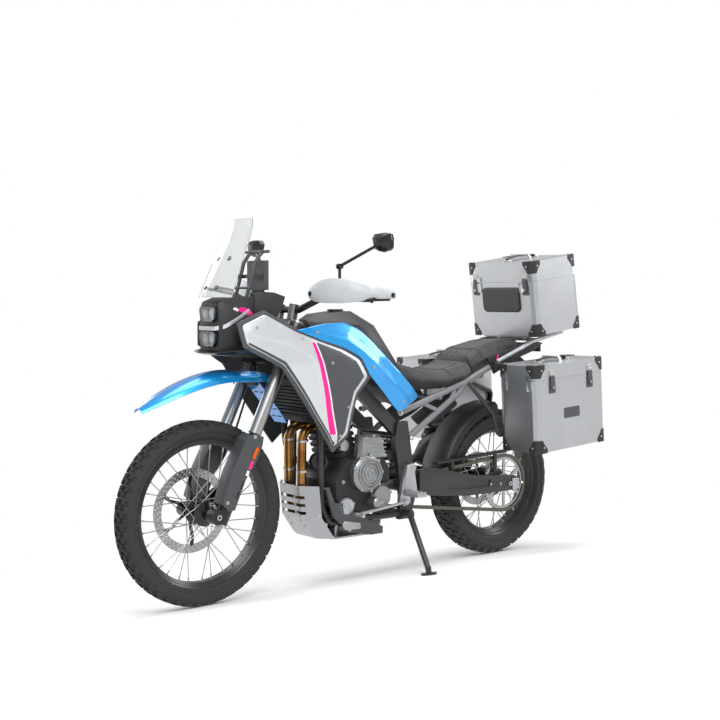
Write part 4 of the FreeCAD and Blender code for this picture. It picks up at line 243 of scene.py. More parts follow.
class Finish:
    """A material in the making, with the moves that every finish repeats."""

    def __init__(self, name):
        self.material = bpy.data.materials.new(name)
        self.material.use_nodes = True
        self.tree = self.material.node_tree
        self.tree.nodes.clear()
        self.shader = add(self.tree, "BsdfPrincipled")
        add(self.tree, "OutputMaterial", {"Surface": self.shader.outputs["BSDF"]})
        self.place = add(self.tree, "TexCoord").outputs["Object"]

    def noise(self, width, detail):
        """Cloudy grain of this width in millimetres."""
        return add(self.tree, "TexNoise", {"Vector": self.place, "Scale": per_mm(width),
                                           "Detail": detail}).outputs["Fac"]

    def stretched(self, widths, detail):
        """Grain of its own width in millimetres along each axis."""
        line = add(self.tree, "Mapping", {"Vector": self.place,
                                          "Scale": [per_mm(width) for width in widths]})
        return add(self.tree, "TexNoise", {"Vector": line.outputs["Vector"], "Scale": 1.0,
                                           "Detail": detail}).outputs["Fac"]

    def cells(self, width, **settings):
        """Pebbles or flakes of this width in millimetres."""
        return add(self.tree, "TexVoronoi", {"Vector": self.place, "Scale": per_mm(width)},
                   **settings)

    def mixed(self, share, first, second, **settings):
        """A colour between two."""
        return add(self.tree, "MixRGB", {"Fac": share, "Color1": first, "Color2": second},
                   **settings).outputs["Color"]

    def tint(self, share, first, second, **settings):
        """The surface's colour, between two."""
        self.tree.links.new(self.mixed(share, first, second, **settings),
                            self.shader.inputs["Base Color"])

    def bump(self, height, strength, distance):
        """Relief too fine for the mesh; the distance is in millimetres."""
        node = add(self.tree, "Bump", {"Height": height, "Strength": strength,
                                       "Distance": distance / 1000})
        self.tree.links.new(node.outputs["Normal"], self.shader.inputs["Normal"])

    def rough(self, share, low, high):
        """Gloss that drifts between two values."""
        node = add(self.tree, "MapRange", {"Value": share, "To Min": low, "To Max": high})
        self.tree.links.new(node.outputs["Result"], self.shader.inputs["Roughness"])

    def made(self, **values):
        """The finished material, with the shader's plain values."""
        for name, value in values.items():
            self.shader.inputs[name.replace("_", " ")].default_value = value
        return self.material


def tyre_rubber(name, colour):
    """Vulcanised rubber from a steel mould: deep matt grey-black with dusty blotches."""
    coat = Finish(name)
    dust = coat.noise(60, 6.0)
    coat.tint(dust, shade(colour), shade("34322F"))
    coat.bump(coat.noise(1.6, 3.0), 0.35, 0.4)
    coat.rough(dust, 0.62, 0.85)
    return coat.made()


def powder_coat(name, colour, gloss):
    """Powder coat on steel tube: even satin colour with an orange-peel ripple."""
    coat = Finish(name)
    grimy = coat.mixed(coat.noise(90, 5.0), shade(colour), shade("4A4845"))
    coat.tint(0.18, shade(colour), grimy)
    coat.bump(coat.noise(2.4, 2.0), 0.18, 0.3)
    return coat.made(Roughness=gloss, Coat_Weight=0.25, Coat_Roughness=0.3)


def cast_metal(name, colour, metallic, rough):
    """Die-cast aluminium, bead blasted: fine sparkling grain and slightly uneven tone."""
    coat = Finish(name)
    patches = coat.noise(45, 4.0)
    coat.tint(patches, shade(colour), shade(colour, 0.72))
    coat.bump(coat.noise(1.8, 4.0), 0.4, 0.4)
    coat.rough(patches, rough - 0.08, rough + 0.1)
    return coat.made(Metallic=metallic)


def brushed_metal(name, colour, rough, along):
    """Rolled and brushed metal sheet: long hair-fine scratches in one direction."""
    coat = Finish(name)
    stretch = [0.7] * 3
    stretch[along] = 60
    hair = coat.stretched(stretch, 3.0)
    coat.tint(coat.noise(120, 5.0), shade(colour), shade(colour, 0.82))
    coat.bump(hair, 0.22, 0.2)
    coat.rough(hair, rough - 0.08, rough + 0.12)
    return coat.made(Metallic=1.0)


def metallic_lacquer(name, colour, deep, flake):
    """Metallic base coat under clear lacquer: fine flakes; the hue is lighter where the surface faces the camera and
    deeper where it turns away, the flakes' own flop with a painted highlight and painted shade on it.
    """
    coat = Finish(name)
    flakes = coat.cells(0.9)
    facing = add(coat.tree, "LayerWeight", {"Blend": 0.35}).outputs["Facing"]
    # Light hue facing the camera, deep hue at glancing angles: painted highlight and painted shade over the flakes'
    # own flop.
    turning = coat.mixed(facing, shade(colour), shade(deep))
    coat.tint(flake, turning, flakes.outputs["Color"], blend_type="SOFT_LIGHT")
    coat.rough(coat.noise(150, 2.0), 0.26, 0.36)
    coat.bump(flakes.outputs["Distance"], 0.05, 0.2)
    return coat.made(Metallic=0.55, Coat_Weight=1.0, Coat_Roughness=0.04)


def moulded_plastic(name, colour, rough, grain):
    """ABS or nylon moulded in an etched tool: pebbled grain that breaks up the gloss."""
    coat = Finish(name)
    wear = coat.noise(70, 5.0)
    coat.tint(wear, shade(colour), shade(colour, 1.25, 0.004))
    coat.bump(coat.cells(grain).outputs["Distance"], 0.22, 0.3)
    coat.rough(wear, rough - 0.07, rough + 0.09)
    return coat.made()


def heated_steel(name, colour):
    """Stainless header pipe after hot running: straw, bronze and a trace of violet."""
    coat = Finish(name)
    ramp = add(coat.tree, "ValToRGB", {"Fac": coat.noise(110, 4.0)})
    stops = ramp.color_ramp.elements
    stops[0].position, stops[0].color = 0.3, shade("8A5A2C")
    stops[1].position, stops[1].color = 0.72, shade("6B4F4A")
    stops.new(0.5).color = shade(colour)
    coat.tree.links.new(ramp.outputs["Color"], coat.shader.inputs["Base Color"])
    fine = coat.noise(3, 4.0)
    coat.bump(fine, 0.15, 0.2)
    coat.rough(fine, 0.24, 0.42)
    return coat.made(Metallic=1.0)


def seat_vinyl(name, colour, grain):
    """Knit-backed vinyl seat cover: small leathery cells, dull sheen, slight scuffs."""
    coat = Finish(name)
    scuff = coat.noise(80, 5.0)
    coat.tint(scuff, shade(colour), shade(colour, 1.5, 0.006))
    coat.bump(coat.cells(grain, feature="DISTANCE_TO_EDGE").outputs["Distance"], 0.5, 0.5)
    coat.rough(scuff, 0.5, 0.68)
    return coat.made(Sheen_Weight=0.15)


def clear_plastic(name, colour, rough, weight):
    """Polycarbonate, hard coated: clear with a faint tint and fine wiping marks."""
    coat = Finish(name)
    marks = coat.stretched((40, 2, 60), 3.0)
    coat.rough(marks, rough, rough + 0.05)
    coat.tint(marks, shade(colour), shade(colour, 0.96))
    return coat.made(Transmission_Weight=weight, IOR=1.25)


def printed_film(name, colour, rough):
    """Cast vinyl film with a solid print: even colour, soft gloss, faint ripples."""
    coat = Finish(name)
    ripple = coat.noise(25, 2.0)
    coat.tint(ripple, shade(colour), shade(colour, 0.9))
    coat.bump(ripple, 0.08, 0.4)
    return coat.made(Roughness=rough)


def nylon_webbing(name, colour):
    """Woven polyamide strap: diagonal twill ridges about two millimetres apart."""
    coat = Finish(name)
    twill = add(coat.tree, "TexWave", {"Vector": coat.place, "Scale": per_mm(12.5),
                                       "Distortion": 0.4, "Detail": 1.0},
                bands_direction="DIAGONAL")
    fibre = add(coat.tree, "TexNoise", {"Vector": coat.place, "Scale": per_mm(0.8),
                                        "Detail": 3.0})
    coat.tint(twill.outputs["Fac"], shade(colour), shade("3A3A3C"))
    coat.bump(coat.mixed(0.4, twill.outputs["Color"], fibre.outputs["Color"]), 0.6, 0.6)
    return coat.made(Roughness=0.85)


def make_finishes():
    """Every finish of the machine, by its plain name."""
    paint = bpy.context.scene.motorcycle_colours
    return {
        "tyre": tyre_rubber("vulcanised_tyre_rubber", "1B1B1C"),
        "rubber": tyre_rubber("moulded_soft_rubber", "161617"),
        "frame": powder_coat("satin_black_powder_coat", "1F2022", 0.42),
        "grey_frame": powder_coat("satin_grey_powder_coat", "77797C", 0.4),
        "rim": powder_coat("black_anodised_rim", "17181A", 0.3),
        "engine": cast_metal("dark_painted_cast_aluminium", "2E2F32", 0.35, 0.5),
        "cover": cast_metal("silver_cast_aluminium", "A6A8AA", 0.9, 0.42),
        "plate": cast_metal("bead_blasted_aluminium", "C3C5C8", 0.85, 0.4),
        "case": brushed_metal("brushed_aluminium_sheet", "C6C8CB", 0.34, 0),
        "skid": brushed_metal("rolled_aluminium_plate", "B9BBBE", 0.36, 0),
        "steel": brushed_metal("ground_stainless_steel", "B4B4B2", 0.3, 1),
        "zinc": brushed_metal("bright_zinc_steel", "C9C9C6", 0.28, 2),
        "chain": brushed_metal("oiled_chain_steel", "6E6A62", 0.4, 1),
        "headers": heated_steel("heat_tinted_stainless_tube", paint.gold),
        "blue": metallic_lacquer("metallic_blue_lacquer", paint.blue, "0F60C4", 0.35),
        "silver": metallic_lacquer("light_silver_lacquer", paint.silver, "A9ADB2", 0.25),
        "pale": moulded_plastic("pale_grey_polypropylene", "A4A7AA", 0.42, 1.6),
        "black": moulded_plastic("black_grained_polypropylene", "1C1D1F", 0.5, 1.3),
        "dark": moulded_plastic("dark_grey_moulded_nylon", "3A3C3F", 0.46, 1.3),
        "gloss": moulded_plastic("gloss_black_abs", "101113", 0.2, 6.0),
        "seat_dark": seat_vinyl("black_seat_vinyl", "1E1F21", 2.2),
        "screen": clear_plastic("clear_polycarbonate_screen", "E2E4E5", 0.04, 0.82),
        "lens": clear_plastic("clear_lamp_lens", "F4F6F8", 0.03, 0.9),
        "red": clear_plastic("red_lamp_lens", "B01018", 0.12, 0.35),
        "amber": clear_plastic("amber_reflector_lens", "FF6A10", 0.12, 0.3),
        "magenta": printed_film("magenta_cast_film", paint.magenta, 0.3),
        # This white film makes the printed pinstripes, and also the painted highlights at the tips of the cowl
        # flashes.
        "white": printed_film("white_cast_film", "F0F0EE", 0.3),
        "webbing": nylon_webbing("black_nylon_webbing", "141415"),
        "thread": nylon_webbing("grey_bonded_seam_thread", "77797C"),
        "glow": clear_plastic("frosted_projector_lens", "EAF2FA", 0.08, 0.55),
        "mirror": brushed_metal("silvered_mirror_glass", "E4E8EA", 0.05, 0),
    }


node_finish = {
    "front_tyre": "tyre", "rear_tyre": "tyre", "front_rim": "rim", "rear_rim": "rim",
    "front_spokes": "steel", "rear_spokes": "steel", "front_axle": "zinc", "rear_axle": "zinc",
    "front_disc": "steel", "rear_disc": "steel", "front_caliper": "gloss",
    "rear_caliper": "gloss", "rear_sprocket": "steel", "chain": "chain",
    "main_frame": "frame", "swingarm": "frame", "subframe": "grey_frame",
    "fork_tubes": "steel", "fork_legs": "rim", "fork_clamps": "rim", "fork_guards": "dark",
    "handlebar": "rim", "grips": "rubber", "handguards": "pale", "mirrors": "black",
    "front_fender": "blue", "tank_panels": "blue", "side_panels": "silver",
    "panel_trims": "dark", "light_band": "silver", "fuel_tank": "black", "front_cowl": "black",
    "nav_tower": "dark", "windscreen": "screen", "headlamps": "lens", "radiator": "black",
    "engine": "engine", "engine_covers": "cover", "exhaust_headers": "headers",
    "muffler": "dark", "skid_plate": "skid", "belly_guards": "dark", "rider_seat": "seat_dark",
    "pillion_seat": "seat_dark", "tail_panels": "black", "tail_lamp": "red",
    "rear_mudguard": "black", "rear_guards": "black", "luggage_rack": "plate",
    "pannier_racks": "frame", "rear_shock": "frame", "side_stand": "frame",
    "foot_controls": "plate", "pannier_box_left": "case", "pannier_box_right": "case",
    "pannier_lid_left": "case", "pannier_lid_right": "case", "top_case_box": "case",
    "top_case_lid": "case", "brake_hoses": "rubber",
}


slot_of = {
    "tyre": "tyre", "rubber": "rubber", "frame": "black_metal", "grey_frame": "grey_metal",
    "rim": "black_metal", "engine": "engine_metal", "cover": "silver", "plate": "silver",
    "case": "case_aluminium", "skid": "silver", "steel": "steel", "zinc": "steel",
    "chain": "grey_metal", "headers": "bronze_pipe", "blue": "blue_paint",
    "silver": "pale_plastic", "pale": "pale_plastic", "black": "black_plastic",
    "dark": "black_plastic", "gloss": "black_plastic", "seat_dark": "seat_cover",
    "screen": "clear", "lens": "lamp", "red": "red_lens", "amber": "red_lens",
    "magenta": "blue_paint", "white": "pale_plastic", "webbing": "black_plastic",
    "thread": "seat_cover", "glow": "lamp", "mirror": "steel",
}


def batch(count):
    """So many empty meshes."""
    return [bmesh.new() for _ in range(count)]


def linked(name, mesh):
    """A new object in the scene from mesh code in the row frame."""
    data = bpy.data.meshes.new(name)
    mesh.to_mesh(data)
    mesh.free()
    piece = bpy.data.objects.new(name, data)
    bpy.context.scene.collection.objects.link(piece)
    return piece


def bake(piece):
    """Puts what a piece's modifiers make into its mesh."""
    bpy.context.view_layer.update()
    graph = bpy.context.evaluated_depsgraph_get()
    plain = piece.data
    made = bpy.data.meshes.new_from_object(piece.evaluated_get(graph))
    piece.modifiers.clear()
    piece.data = made
    bpy.data.meshes.remove(plain)


def finished(name, mesh, finish, body, crease=35.0, stands_for=(), flat=None):
    """A piece from mesh code in upright millimetres: smooth but for its creases, riding a body.

    Faces of more than flat square millimetres stay flat, where it is given.
    """
    bmesh.ops.recalc_face_normals(mesh, faces=mesh.faces)
    limit = math.radians(crease)
    for face in mesh.faces:
        face.smooth = flat is None or face.calc_area() < flat
    mesh.transform(upright_to_row)
    for edge in mesh.edges:
        if len(edge.link_faces) == 2:
            edge.smooth = edge.calc_face_angle(0.0) < limit
    piece = linked(name, mesh)
    piece.data.materials.append(finishes[finish])
    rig.slot(piece, slot_of[finish])
    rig.ride(piece, body)
    if stands_for:
        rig.replaces(piece, *stands_for)
    return piece


def finish_all(body, *rows):
    """Pieces on one body: rows of a name, its mesh, its finish and the rest of finished."""
    for name, mesh, finish, *rest in rows:
        finished(name, mesh, finish, body, *rest)


def solid_of(node):
    """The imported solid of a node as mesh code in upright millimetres, with flat faces joined."""
    mesh = bmesh.new()
    mesh.from_mesh(frame["nodes"][node].data)
    mesh.transform(row_to_upright)
    bmesh.ops.remove_doubles(mesh, verts=mesh.verts, dist=0.02)
    return mesh


def surface(name):
    """The search tree of a node, in upright millimetres."""
    if name not in surfaces:
        mesh = solid_of(name)
        surfaces[name] = BVHTree.FromBMesh(mesh)
        mesh.free()
    return surfaces[name]


def cast(names, start, way):
    """Where a ray from a place first meets one of the named surfaces, and the normal there."""
    start, way = Vector(start), Vector(way).normalized()
    best = None
    for name in names:
        spot, normal, _, distance = surface(name).ray_cast(start, way)
        if spot is not None and (best is None or distance < best[2]):
            best = (spot, normal if normal.dot(way) < 0 else -normal, distance)
    if best is None:
        raise RuntimeError("no surface of %s on the ray from %s" % (names, tuple(start)))
    return best[0], best[1]


def beside(names, x, z, side=1):
    """The outermost place on the named surfaces at this length and height, on one side."""
    far_out = 600.0
    return cast(names, (x, side * far_out, z), (0, -side, 0))


def basis(axis):
    """Two directions square to an axis, and the axis, each of unit length."""
    along = Vector(axis).normalized()
    helper = Vector((0, 0, 1)) if abs(along.z) < 0.9 else Vector((1, 0, 0))
    across = along.cross(helper).normalized()
    return across, along.cross(across), along


def skin(mesh, rings, loop=False):
    """Faces between rings of vertices."""
    for low, high in zip(rings, rings[1:] + rings[:1] if loop else rings[1:]):
        for a, b, c, d in zip(low, low[1:] + low[:1], high[1:] + high[:1], high):
            mesh.faces.new((a, b, c, d))


def lofted(mesh, places, loop=False):
    """A skin through rings of places, closed at both ends unless it runs in a loop."""
    rings = [[mesh.verts.new(place) for place in ring] for ring in places]
    skin(mesh, rings, loop)
    if not loop:
        mesh.faces.new(rings[0][::-1])
        mesh.faces.new(rings[-1])


def around(count, radius, shift=0.0):
    """Places on a circle, the first of them a share of a step along."""
    angles = [2 * math.pi * (number + shift) / count for number in range(count)]
    return [(radius * math.cos(angle), radius * math.sin(angle)) for angle in angles]


def turned(mesh, profile, centre, axis, sides, loop=False):
    """Turns (radius, reach) points about an axis through a centre."""
    across, up, along = basis(axis)
    lofted(mesh, [[Vector(centre) + along * reach + across * u + up * v
                   for u, v in around(sides, radius)] for radius, reach in profile], loop)


def eased(points, steps):
    """A smooth line through the points, with this many steps between each two."""
    line = [Vector(p) for p in points]
    if steps < 2 or len(line) < 3:
        return line
    ends = [line[0] * 2 - line[1]] + line + [line[-1] * 2 - line[-2]]
    route = []
    for a, b, c, d in zip(ends, ends[1:], ends[2:], ends[3:]):
        for k in range(steps):
            t = k / steps
            route.append(((2 * b) + (c - a) * t + (2 * a - 5 * b + 4 * c - d) * t ** 2
                          + (3 * b - a - 3 * c + d) * t ** 3) / 2)
    route.append(line[-1])
    return route


def tube(mesh, points, radius, sides=10, steps=5):
    """A round bar or hose along a smooth line through the points."""
    route = eased(points, steps)
    across, up, run = basis(route[1] - route[0])
    rings = []
    for k, place in enumerate(route):
        after = route[min(k + 1, len(route) - 1)] - route[max(k - 1, 0)]
        turn = run.rotation_difference(after.normalized())
        across, up, run = turn @ across, turn @ up, after.normalized()
        reach = radius(k / (len(route) - 1)) if callable(radius) else radius
        rings.append([place + across * u + up * v for u, v in around(sides, reach)])
    lofted(mesh, rings)


def screw(mesh, place, normal, radius=4.0):
    """A button head screw with its washer and a driver recess."""
    r = radius
    turned(mesh, [(r * 1.45, -0.4), (r * 1.45, r * 0.16), (r * 1.05, r * 0.2), (r, r * 0.55),
                  (r * 0.82, r * 0.8), (r * 0.5, r * 0.84), (r * 0.46, r * 0.4)],
           place, normal, 14)


def nut(mesh, place, normal, radius=7.0):
    """A flanged hexagon nut with chamfered corners."""
    r = radius
    turned(mesh, [(r * 1.3, -0.4), (r * 1.3, r * 0.14), (r * 1.02, r * 0.24)], place, normal, 18)
    turned(mesh, [(r, r * 0.2), (r, r * 0.85), (r * 0.86, r)], place, normal, 6)


def inset(outline, reach):
    """A closed outline moved inwards (to its left, when it runs anticlockwise)."""
    points = [Vector(p) for p in outline]
    moved = []
    for before, here, after in zip(points[-1:] + points[:-1], points, points[1:] + points[:1]):
        one = (here - before).normalized()
        two = (after - here).normalized()
        left = Vector((-one.y - two.y, one.x + two.x))
        scale = max(0.35, 1 + one.dot(two))
        moved.append(here + left * (reach / scale))
    return moved


def anticlockwise(outline):
    """The outline in anticlockwise order."""
    area = sum(a[0] * b[1] - b[0] * a[1] for a, b in zip(outline, outline[1:] + outline[:1]))
    return list(outline) if area > 0 else list(outline)[::-1]


def sideways(a, b, h):
    """A place at a length and a height, this far to the side."""
    return Vector((a, h, b))


def forwards(a, b, h):
    """A place at a width and a height, this far forward."""
    return Vector((h, a, b))


def slab(mesh, outline, low, high, edge=0.8, spot=sideways):
    """A plate between two heights over an outline, with its edges broken.

    spot turns (a, b, height) into a place.
    """
    ring = [Vector(p) for p in anticlockwise(outline)]
    small = inset(ring, edge)
    sign = 1 if high > low else -1
    lofted(mesh, [[spot(p.x, p.y, height) for p in line]
                  for line, height in ((small, low), (ring, low + sign * edge),
                                       (ring, high - sign * edge), (small, high))])


def rounded(width, height, corner, steps=4, centre=(0.0, 0.0)):
    """A rectangle with round corners, anticlockwise."""
    points = []
    for k, (sx, sy) in enumerate(((1, 1), (-1, 1), (-1, -1), (1, -1))):
        for step in range(steps + 1):
            angle = math.pi / 2 * (k + step / steps)
            points.append((centre[0] + sx * (width / 2 - corner) + corner * math.cos(angle),
                           centre[1] + sy * (height / 2 - corner) + corner * math.sin(angle)))
    return points


def on_plane(place, normal, up=(0, 0, 1)):
    """Turns (a, b, height) into a place on the plane through a place, b along up."""
    face = Vector(normal).normalized()
    rise = (Vector(up) - face * face.dot(Vector(up))).normalized()
    right = rise.cross(face).normalized()
    return lambda a, b, h: Vector(place) + right * a + rise * b + face * h


def smoothed(node, finish, crease, edge=0.0, flat=None):
    """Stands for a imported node: its own solid with smooth round faces and broken edges."""
    mesh = solid_of(node)
    bmesh.ops.dissolve_limit(mesh, angle_limit=math.radians(0.6), verts=mesh.verts,
                             edges=mesh.edges)
    if edge:
        sharp = [e for e in mesh.edges if len(e.link_faces) == 2
                 and math.radians(crease) < e.calc_face_angle(0.0) < math.radians(150)
                 and e.calc_length() > edge * 3]
        bmesh.ops.bevel(mesh, geom=sharp, offset=edge, segments=2, profile=0.6,
                        affect="EDGES", clamp_overlap=True)
    return finished(node + "_finish", mesh, finish, body_of[node], crease, (node,), flat)


def smooth_all(*rows):
    """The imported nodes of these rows, each row as smoothed takes it."""
    for row in rows:
        smoothed(*row)


wheels = {
    "front": {"centre": (752.5, 348.0), "radius": 345.4, "half": 46.0, "fall": (0.4, 5.6, 12.6),
              "bead": 276.8, "rim": 60.0, "opening": 255.0, "hub": 24.0, "flange": 46.0,
              "spread": 33.0, "left": 66.0, "right": 71.0, "disc": (160.0, -66.0),
              "pitches": 46, "drillings": 42},
    "rear": {"centre": (-752.5, 326.5), "radius": 322.0, "half": 71.0, "fall": (0.8, 8.0, 19.0),
             "bead": 238.4, "rim": 98.0, "opening": 216.0, "hub": 36.0, "flange": 62.0,
             "spread": 36.0, "left": 98.0, "right": 81.0, "disc": (120.0, -76.0),
             "pitches": 40, "drillings": 32},
}


crosswise = (0, 1, 0)
spokes, arms = 32, 6
wall_shares = ((0.34, 0.955), (0.42, 0.985), (0.45, 1), (0.56, 0.995), (0.575, 0.975),
               (0.8, 0.9), (0.82, 0.905), (0.86, 0.86))
# Rows of blocks: inner and outer share of half the width, shift and length as shares
# of a pitch, skew, and the parts of a length that a block fills.
block_rows = ((0.03, 0.4, 0.0, 0.62, 0.06, ((0.0, 0.47), (0.53, 1.0))),
              (0.44, 0.66, 0.42, 0.6, -0.05, ((0.0, 1.0),)),
              (0.7, 0.865, 0.05, 0.66, 0.0, ((0.0, 1.0),)))
shoulder = 0.7


def wheel_place(data, angle, radius, y):
    """A place on a wheel: the angle from its top, the radius and the distance to the left."""
    x, z = data["centre"]
    return Vector((x + radius * math.sin(angle), y, z + radius * math.cos(angle)))


def crown(data, y):
    """The radius over a tyre's blocks at a distance from its middle."""
    inner, outer, edge = 0.42, 0.66, 0.86
    top, fall, share = data["radius"], data["fall"], abs(y) / data["half"]
    if share < inner:
        return top - fall[0] * share / inner
    if share < outer:
        return top - fall[0] - (fall[1] - fall[0]) * (share - inner) / (outer - inner)
    return top - fall[1] - (fall[2] - fall[1]) * min(1.0, (share - outer) / (edge - outer))


def tread_block(mesh, data, depth, side, low, high, skew, a0, a1):
    """A tapered block between two shares of half a tyre's width and two angles."""
    half = data["half"]
    rings = []
    for drop, tight in ((depth + 1.2, 0.0), (0.9, 0.035), (0.0, 0.075)):
        ring = []
        for u, v in ((0, 0), (1, 0), (1, 1), (0, 1)):
            y = half * (low + (high - low) * (v + (0.5 - v) * 2 * tight))
            angle = a0 + (a1 - a0) * (u + (0.5 - u) * 2 * tight) + skew * v
            radius = crown(data, y) - drop
            if low == shoulder and v == 1 and drop > depth:
                radius -= (data["radius"] - data["bead"]) * 0.1
                y += half * 0.07
            ring.append(mesh.verts.new(wheel_place(data, angle, radius, side * y)))
        rings.append(ring)
    skin(mesh, rings)
    mesh.faces.new(rings[-1])


class MOTORCYCLE_OT_tyres(bpy.types.Operator):
    """Block-tread tyres: a smooth carcass with ribbed walls and rows of tapered blocks"""
    bl_idname = "motorcycle.tyres"
    bl_label = "Tyres"

    def execute(self, context):
        depth = size("block_height")
        for end, data in wheels.items():
            half, top, bead = data["half"], data["radius"], data["bead"]
            mesh = bmesh.new()
            wall = [(crown(data, half * share) - depth, half * share)
                    for share in (0, 0.4, 0.66, 0.86)]
            wall += [(top - (top - bead) * down, half * share) for down, share in wall_shares]
            wall.append((bead, data["rim"] / 2 - 0.5))
            profile = wall + [(r, -y) for r, y in wall[:0:-1]]
            x, z = data["centre"]
            turned(mesh, profile, (x, 0, z), crosswise, 144, loop=True)
            pitches, turn = data["pitches"], 2 * math.pi
            for number in range(pitches):
                for side in both:
                    for low, high, start, long, skew, parts in block_rows:
                        shift = number + start + (0.5 if side < 0 else 0.0)
                        for part in parts:
                            tread_block(mesh, data, depth, side, low, high, skew / pitches * turn,
                                        *((shift + long * share) / pitches * turn
                                          for share in part))
            finished(end + "_tyre_tread", mesh, "tyre", end + "_wheel", 32.0, (end + "_tyre",))
        return {"FINISHED"}


class MOTORCYCLE_OT_wheels(bpy.types.Operator):
    """Rims, hubs, drawn spokes with nipples, and drilled brake discs on their carriers"""
    bl_idname = "motorcycle.wheels"
    bl_label = "Wheels"

    def execute(self, context):
        for end, data in wheels.items():
            body = end + "_wheel"
            centre = (data["centre"][0], 0, data["centre"][1])
            smoothed(end + "_rim", "rim", 30.0)
            mesh = bmesh.new()
            flange, spread, radius = data["flange"], data["spread"], data["hub"]
            neck = radius * 0.8
            profile = [(15.4, -data["right"]), (neck, -data["right"]), (neck, -spread - 9),
                       (flange - 2, -spread - 0.5), (flange, -spread + 1), (flange, -spread + 5),
                       (flange - 3, -spread + 6), (radius, -spread + 15),
                       (radius * 0.94, 0), (radius, spread - 15), (flange - 3, spread - 6),
                       (flange, spread - 5), (flange, spread - 1), (flange - 2, spread + 0.5),
                       (neck, spread + 9), (neck, data["left"]), (15.4, data["left"])]
            turned(mesh, profile, centre, crosswise, 40, loop=True)
            finished(end + "_hub", mesh, "gloss", body, 28.0, (end + "_spokes",))
            wires, nipples, band, holes, carrier = batch(5)
            for number in range(spokes):
                angle = 2 * math.pi * number / spokes
                side = 1 if number % 2 == 0 else -1
                swing = math.radians(68.0) * (1 if number % 4 < 2 else -1)
                start = wheel_place(data, angle + swing, flange - 3, side * (spread - 3))
                finish = wheel_place(data, angle, data["opening"] * 0.995,
                                     side * data["rim"] * 0.1)
                tube(wires, [start, finish], size("spoke_width") / 2, 8, 1)
                turned(nipples, [(2.4, -17), (3.3, -15), (3.3, -3), (4.6, 0), (4.6, 1.2)],
                       finish, finish - start, 8)
            finished(end + "_spoke_wires", wires, "steel", body, 60.0)
            finished(end + "_spoke_nipples", nipples, "zinc", body, 40.0)
            outer, offset = data["disc"]
            inner = outer - 32
            turned(band, [(inner, offset - 2.2), (inner + 0.4, offset - 2.5),
                          (outer - 0.4, offset - 2.5), (outer, offset - 2.2),
                          (outer, offset + 2.2), (outer - 0.4, offset + 2.5),
                          (inner + 0.4, offset + 2.5), (inner, offset + 2.2)],
                   centre, crosswise, 96, loop=True)
            disc = finished(end + "_brake_band", band, "steel", body, 30.0, (end + "_disc",))
            count = data["drillings"]
            for number in range(count):
                for ring, share in enumerate((0.2, 0.5, 0.8)):
                    angle = 2 * math.pi * (number + ring * 0.33) / count
                    spot = wheel_place(data, angle, inner + 32 * share, offset)
                    turned(holes, [(2.6, -6), (2.6, 6)], spot, crosswise, 10)
            holes.transform(upright_to_row)
            bmesh.ops.recalc_face_normals(holes, faces=holes.faces)
            cutter = linked(end + "_disc_holes", holes)
            drill = disc.modifiers.new("drill", "BOOLEAN")
            drill.operation = "DIFFERENCE"
            drill.solver = "EXACT"
            drill.object = cutter
            bake(disc)
            bpy.data.objects.remove(cutter)
            turned(carrier, [(neck, offset - 2.6), (neck + 13, offset - 2.6), (neck + 14, offset),
                             (neck + 13, offset + 2.6), (neck, offset + 2.6)],
                   centre, crosswise, 40, loop=True)
            for number in range(arms):
                base = 2 * math.pi * number / arms
                rings = []
                for share, turn, wide in ((0.0, -0.16, 9), (0.35, -0.03, 6.5), (0.7, 0.06, 5.5),
                                          (1.0, 0.0, 8)):
                    reach = neck + 10 + (inner + 6 - neck - 10) * share
                    rings.append([wheel_place(data, base + turn + s * wide / reach, reach,
                                              offset + h)
                                  for s, h in ((-1, -2.2), (1, -2.2), (1, 2.2), (-1, 2.2))])
                lofted(carrier, rings)
                spot = wheel_place(data, base, inner + 1, offset)
                turned(carrier, [(5.6, -2.9), (5.6, 2.9), (3.6, 3.2)], spot, crosswise, 16)
                screw(carrier, wheel_place(data, base + 0.5, neck + 7, offset - 2.6), (0, -1, 0),
                      3.6)
            finished(end + "_disc_carrier", carrier, "gloss", body, 30.0)
        return {"FINISHED"}


body_x_share = (0.0, 0.235, 0.392, 0.539, 0.686, 0.843, 1.0)
body_z_share = (0.0, 0.267, 0.467, 0.633, 0.767, 0.883, 1.0)
body_half_share = (
    (0.60, 0.64, 0.68, 0.66, 0.58, 0.46, 0.34),
    (0.72, 0.76, 0.80, 0.76, 0.66, 0.50, 0.36),
    (0.84, 0.90, 0.95, 0.93, 0.84, 0.68, 0.46),
    (0.92, 0.98, 1.00, 0.98, 0.90, 0.76, 0.54),
    (0.90, 0.98, 1.00, 0.98, 0.90, 0.78, 0.60),
    (0.82, 0.90, 0.94, 0.92, 0.84, 0.74, 0.62),
    (0.60, 0.66, 0.70, 0.70, 0.66, 0.60, 0.54),
)


def body_half(x, z):
    """Half the width of the bodywork at a length and a height, blended over its stations."""
    start, low, long, tall, widest = -300, 520, 1020, 600, 224.0
    reach_x, reach_z = 0.105, 0.095
    u, v = (x - start) / long, (z - low) / tall
    total = weight_sum = 0.0
    for x_share, row in zip(body_x_share, body_half_share):
        for z_share, half in zip(body_z_share, row):
            weight = math.exp(-((u - x_share) / reach_x) ** 2 - ((v - z_share) / reach_z) ** 2)
            total += weight * half
            weight_sum += weight
    return widest * total / weight_sum


def placed(shares, x, z, length, height):
    """An outline from its shares of a length and a height."""
    return [(x + length * a, z + height * b) for a, b in shares]


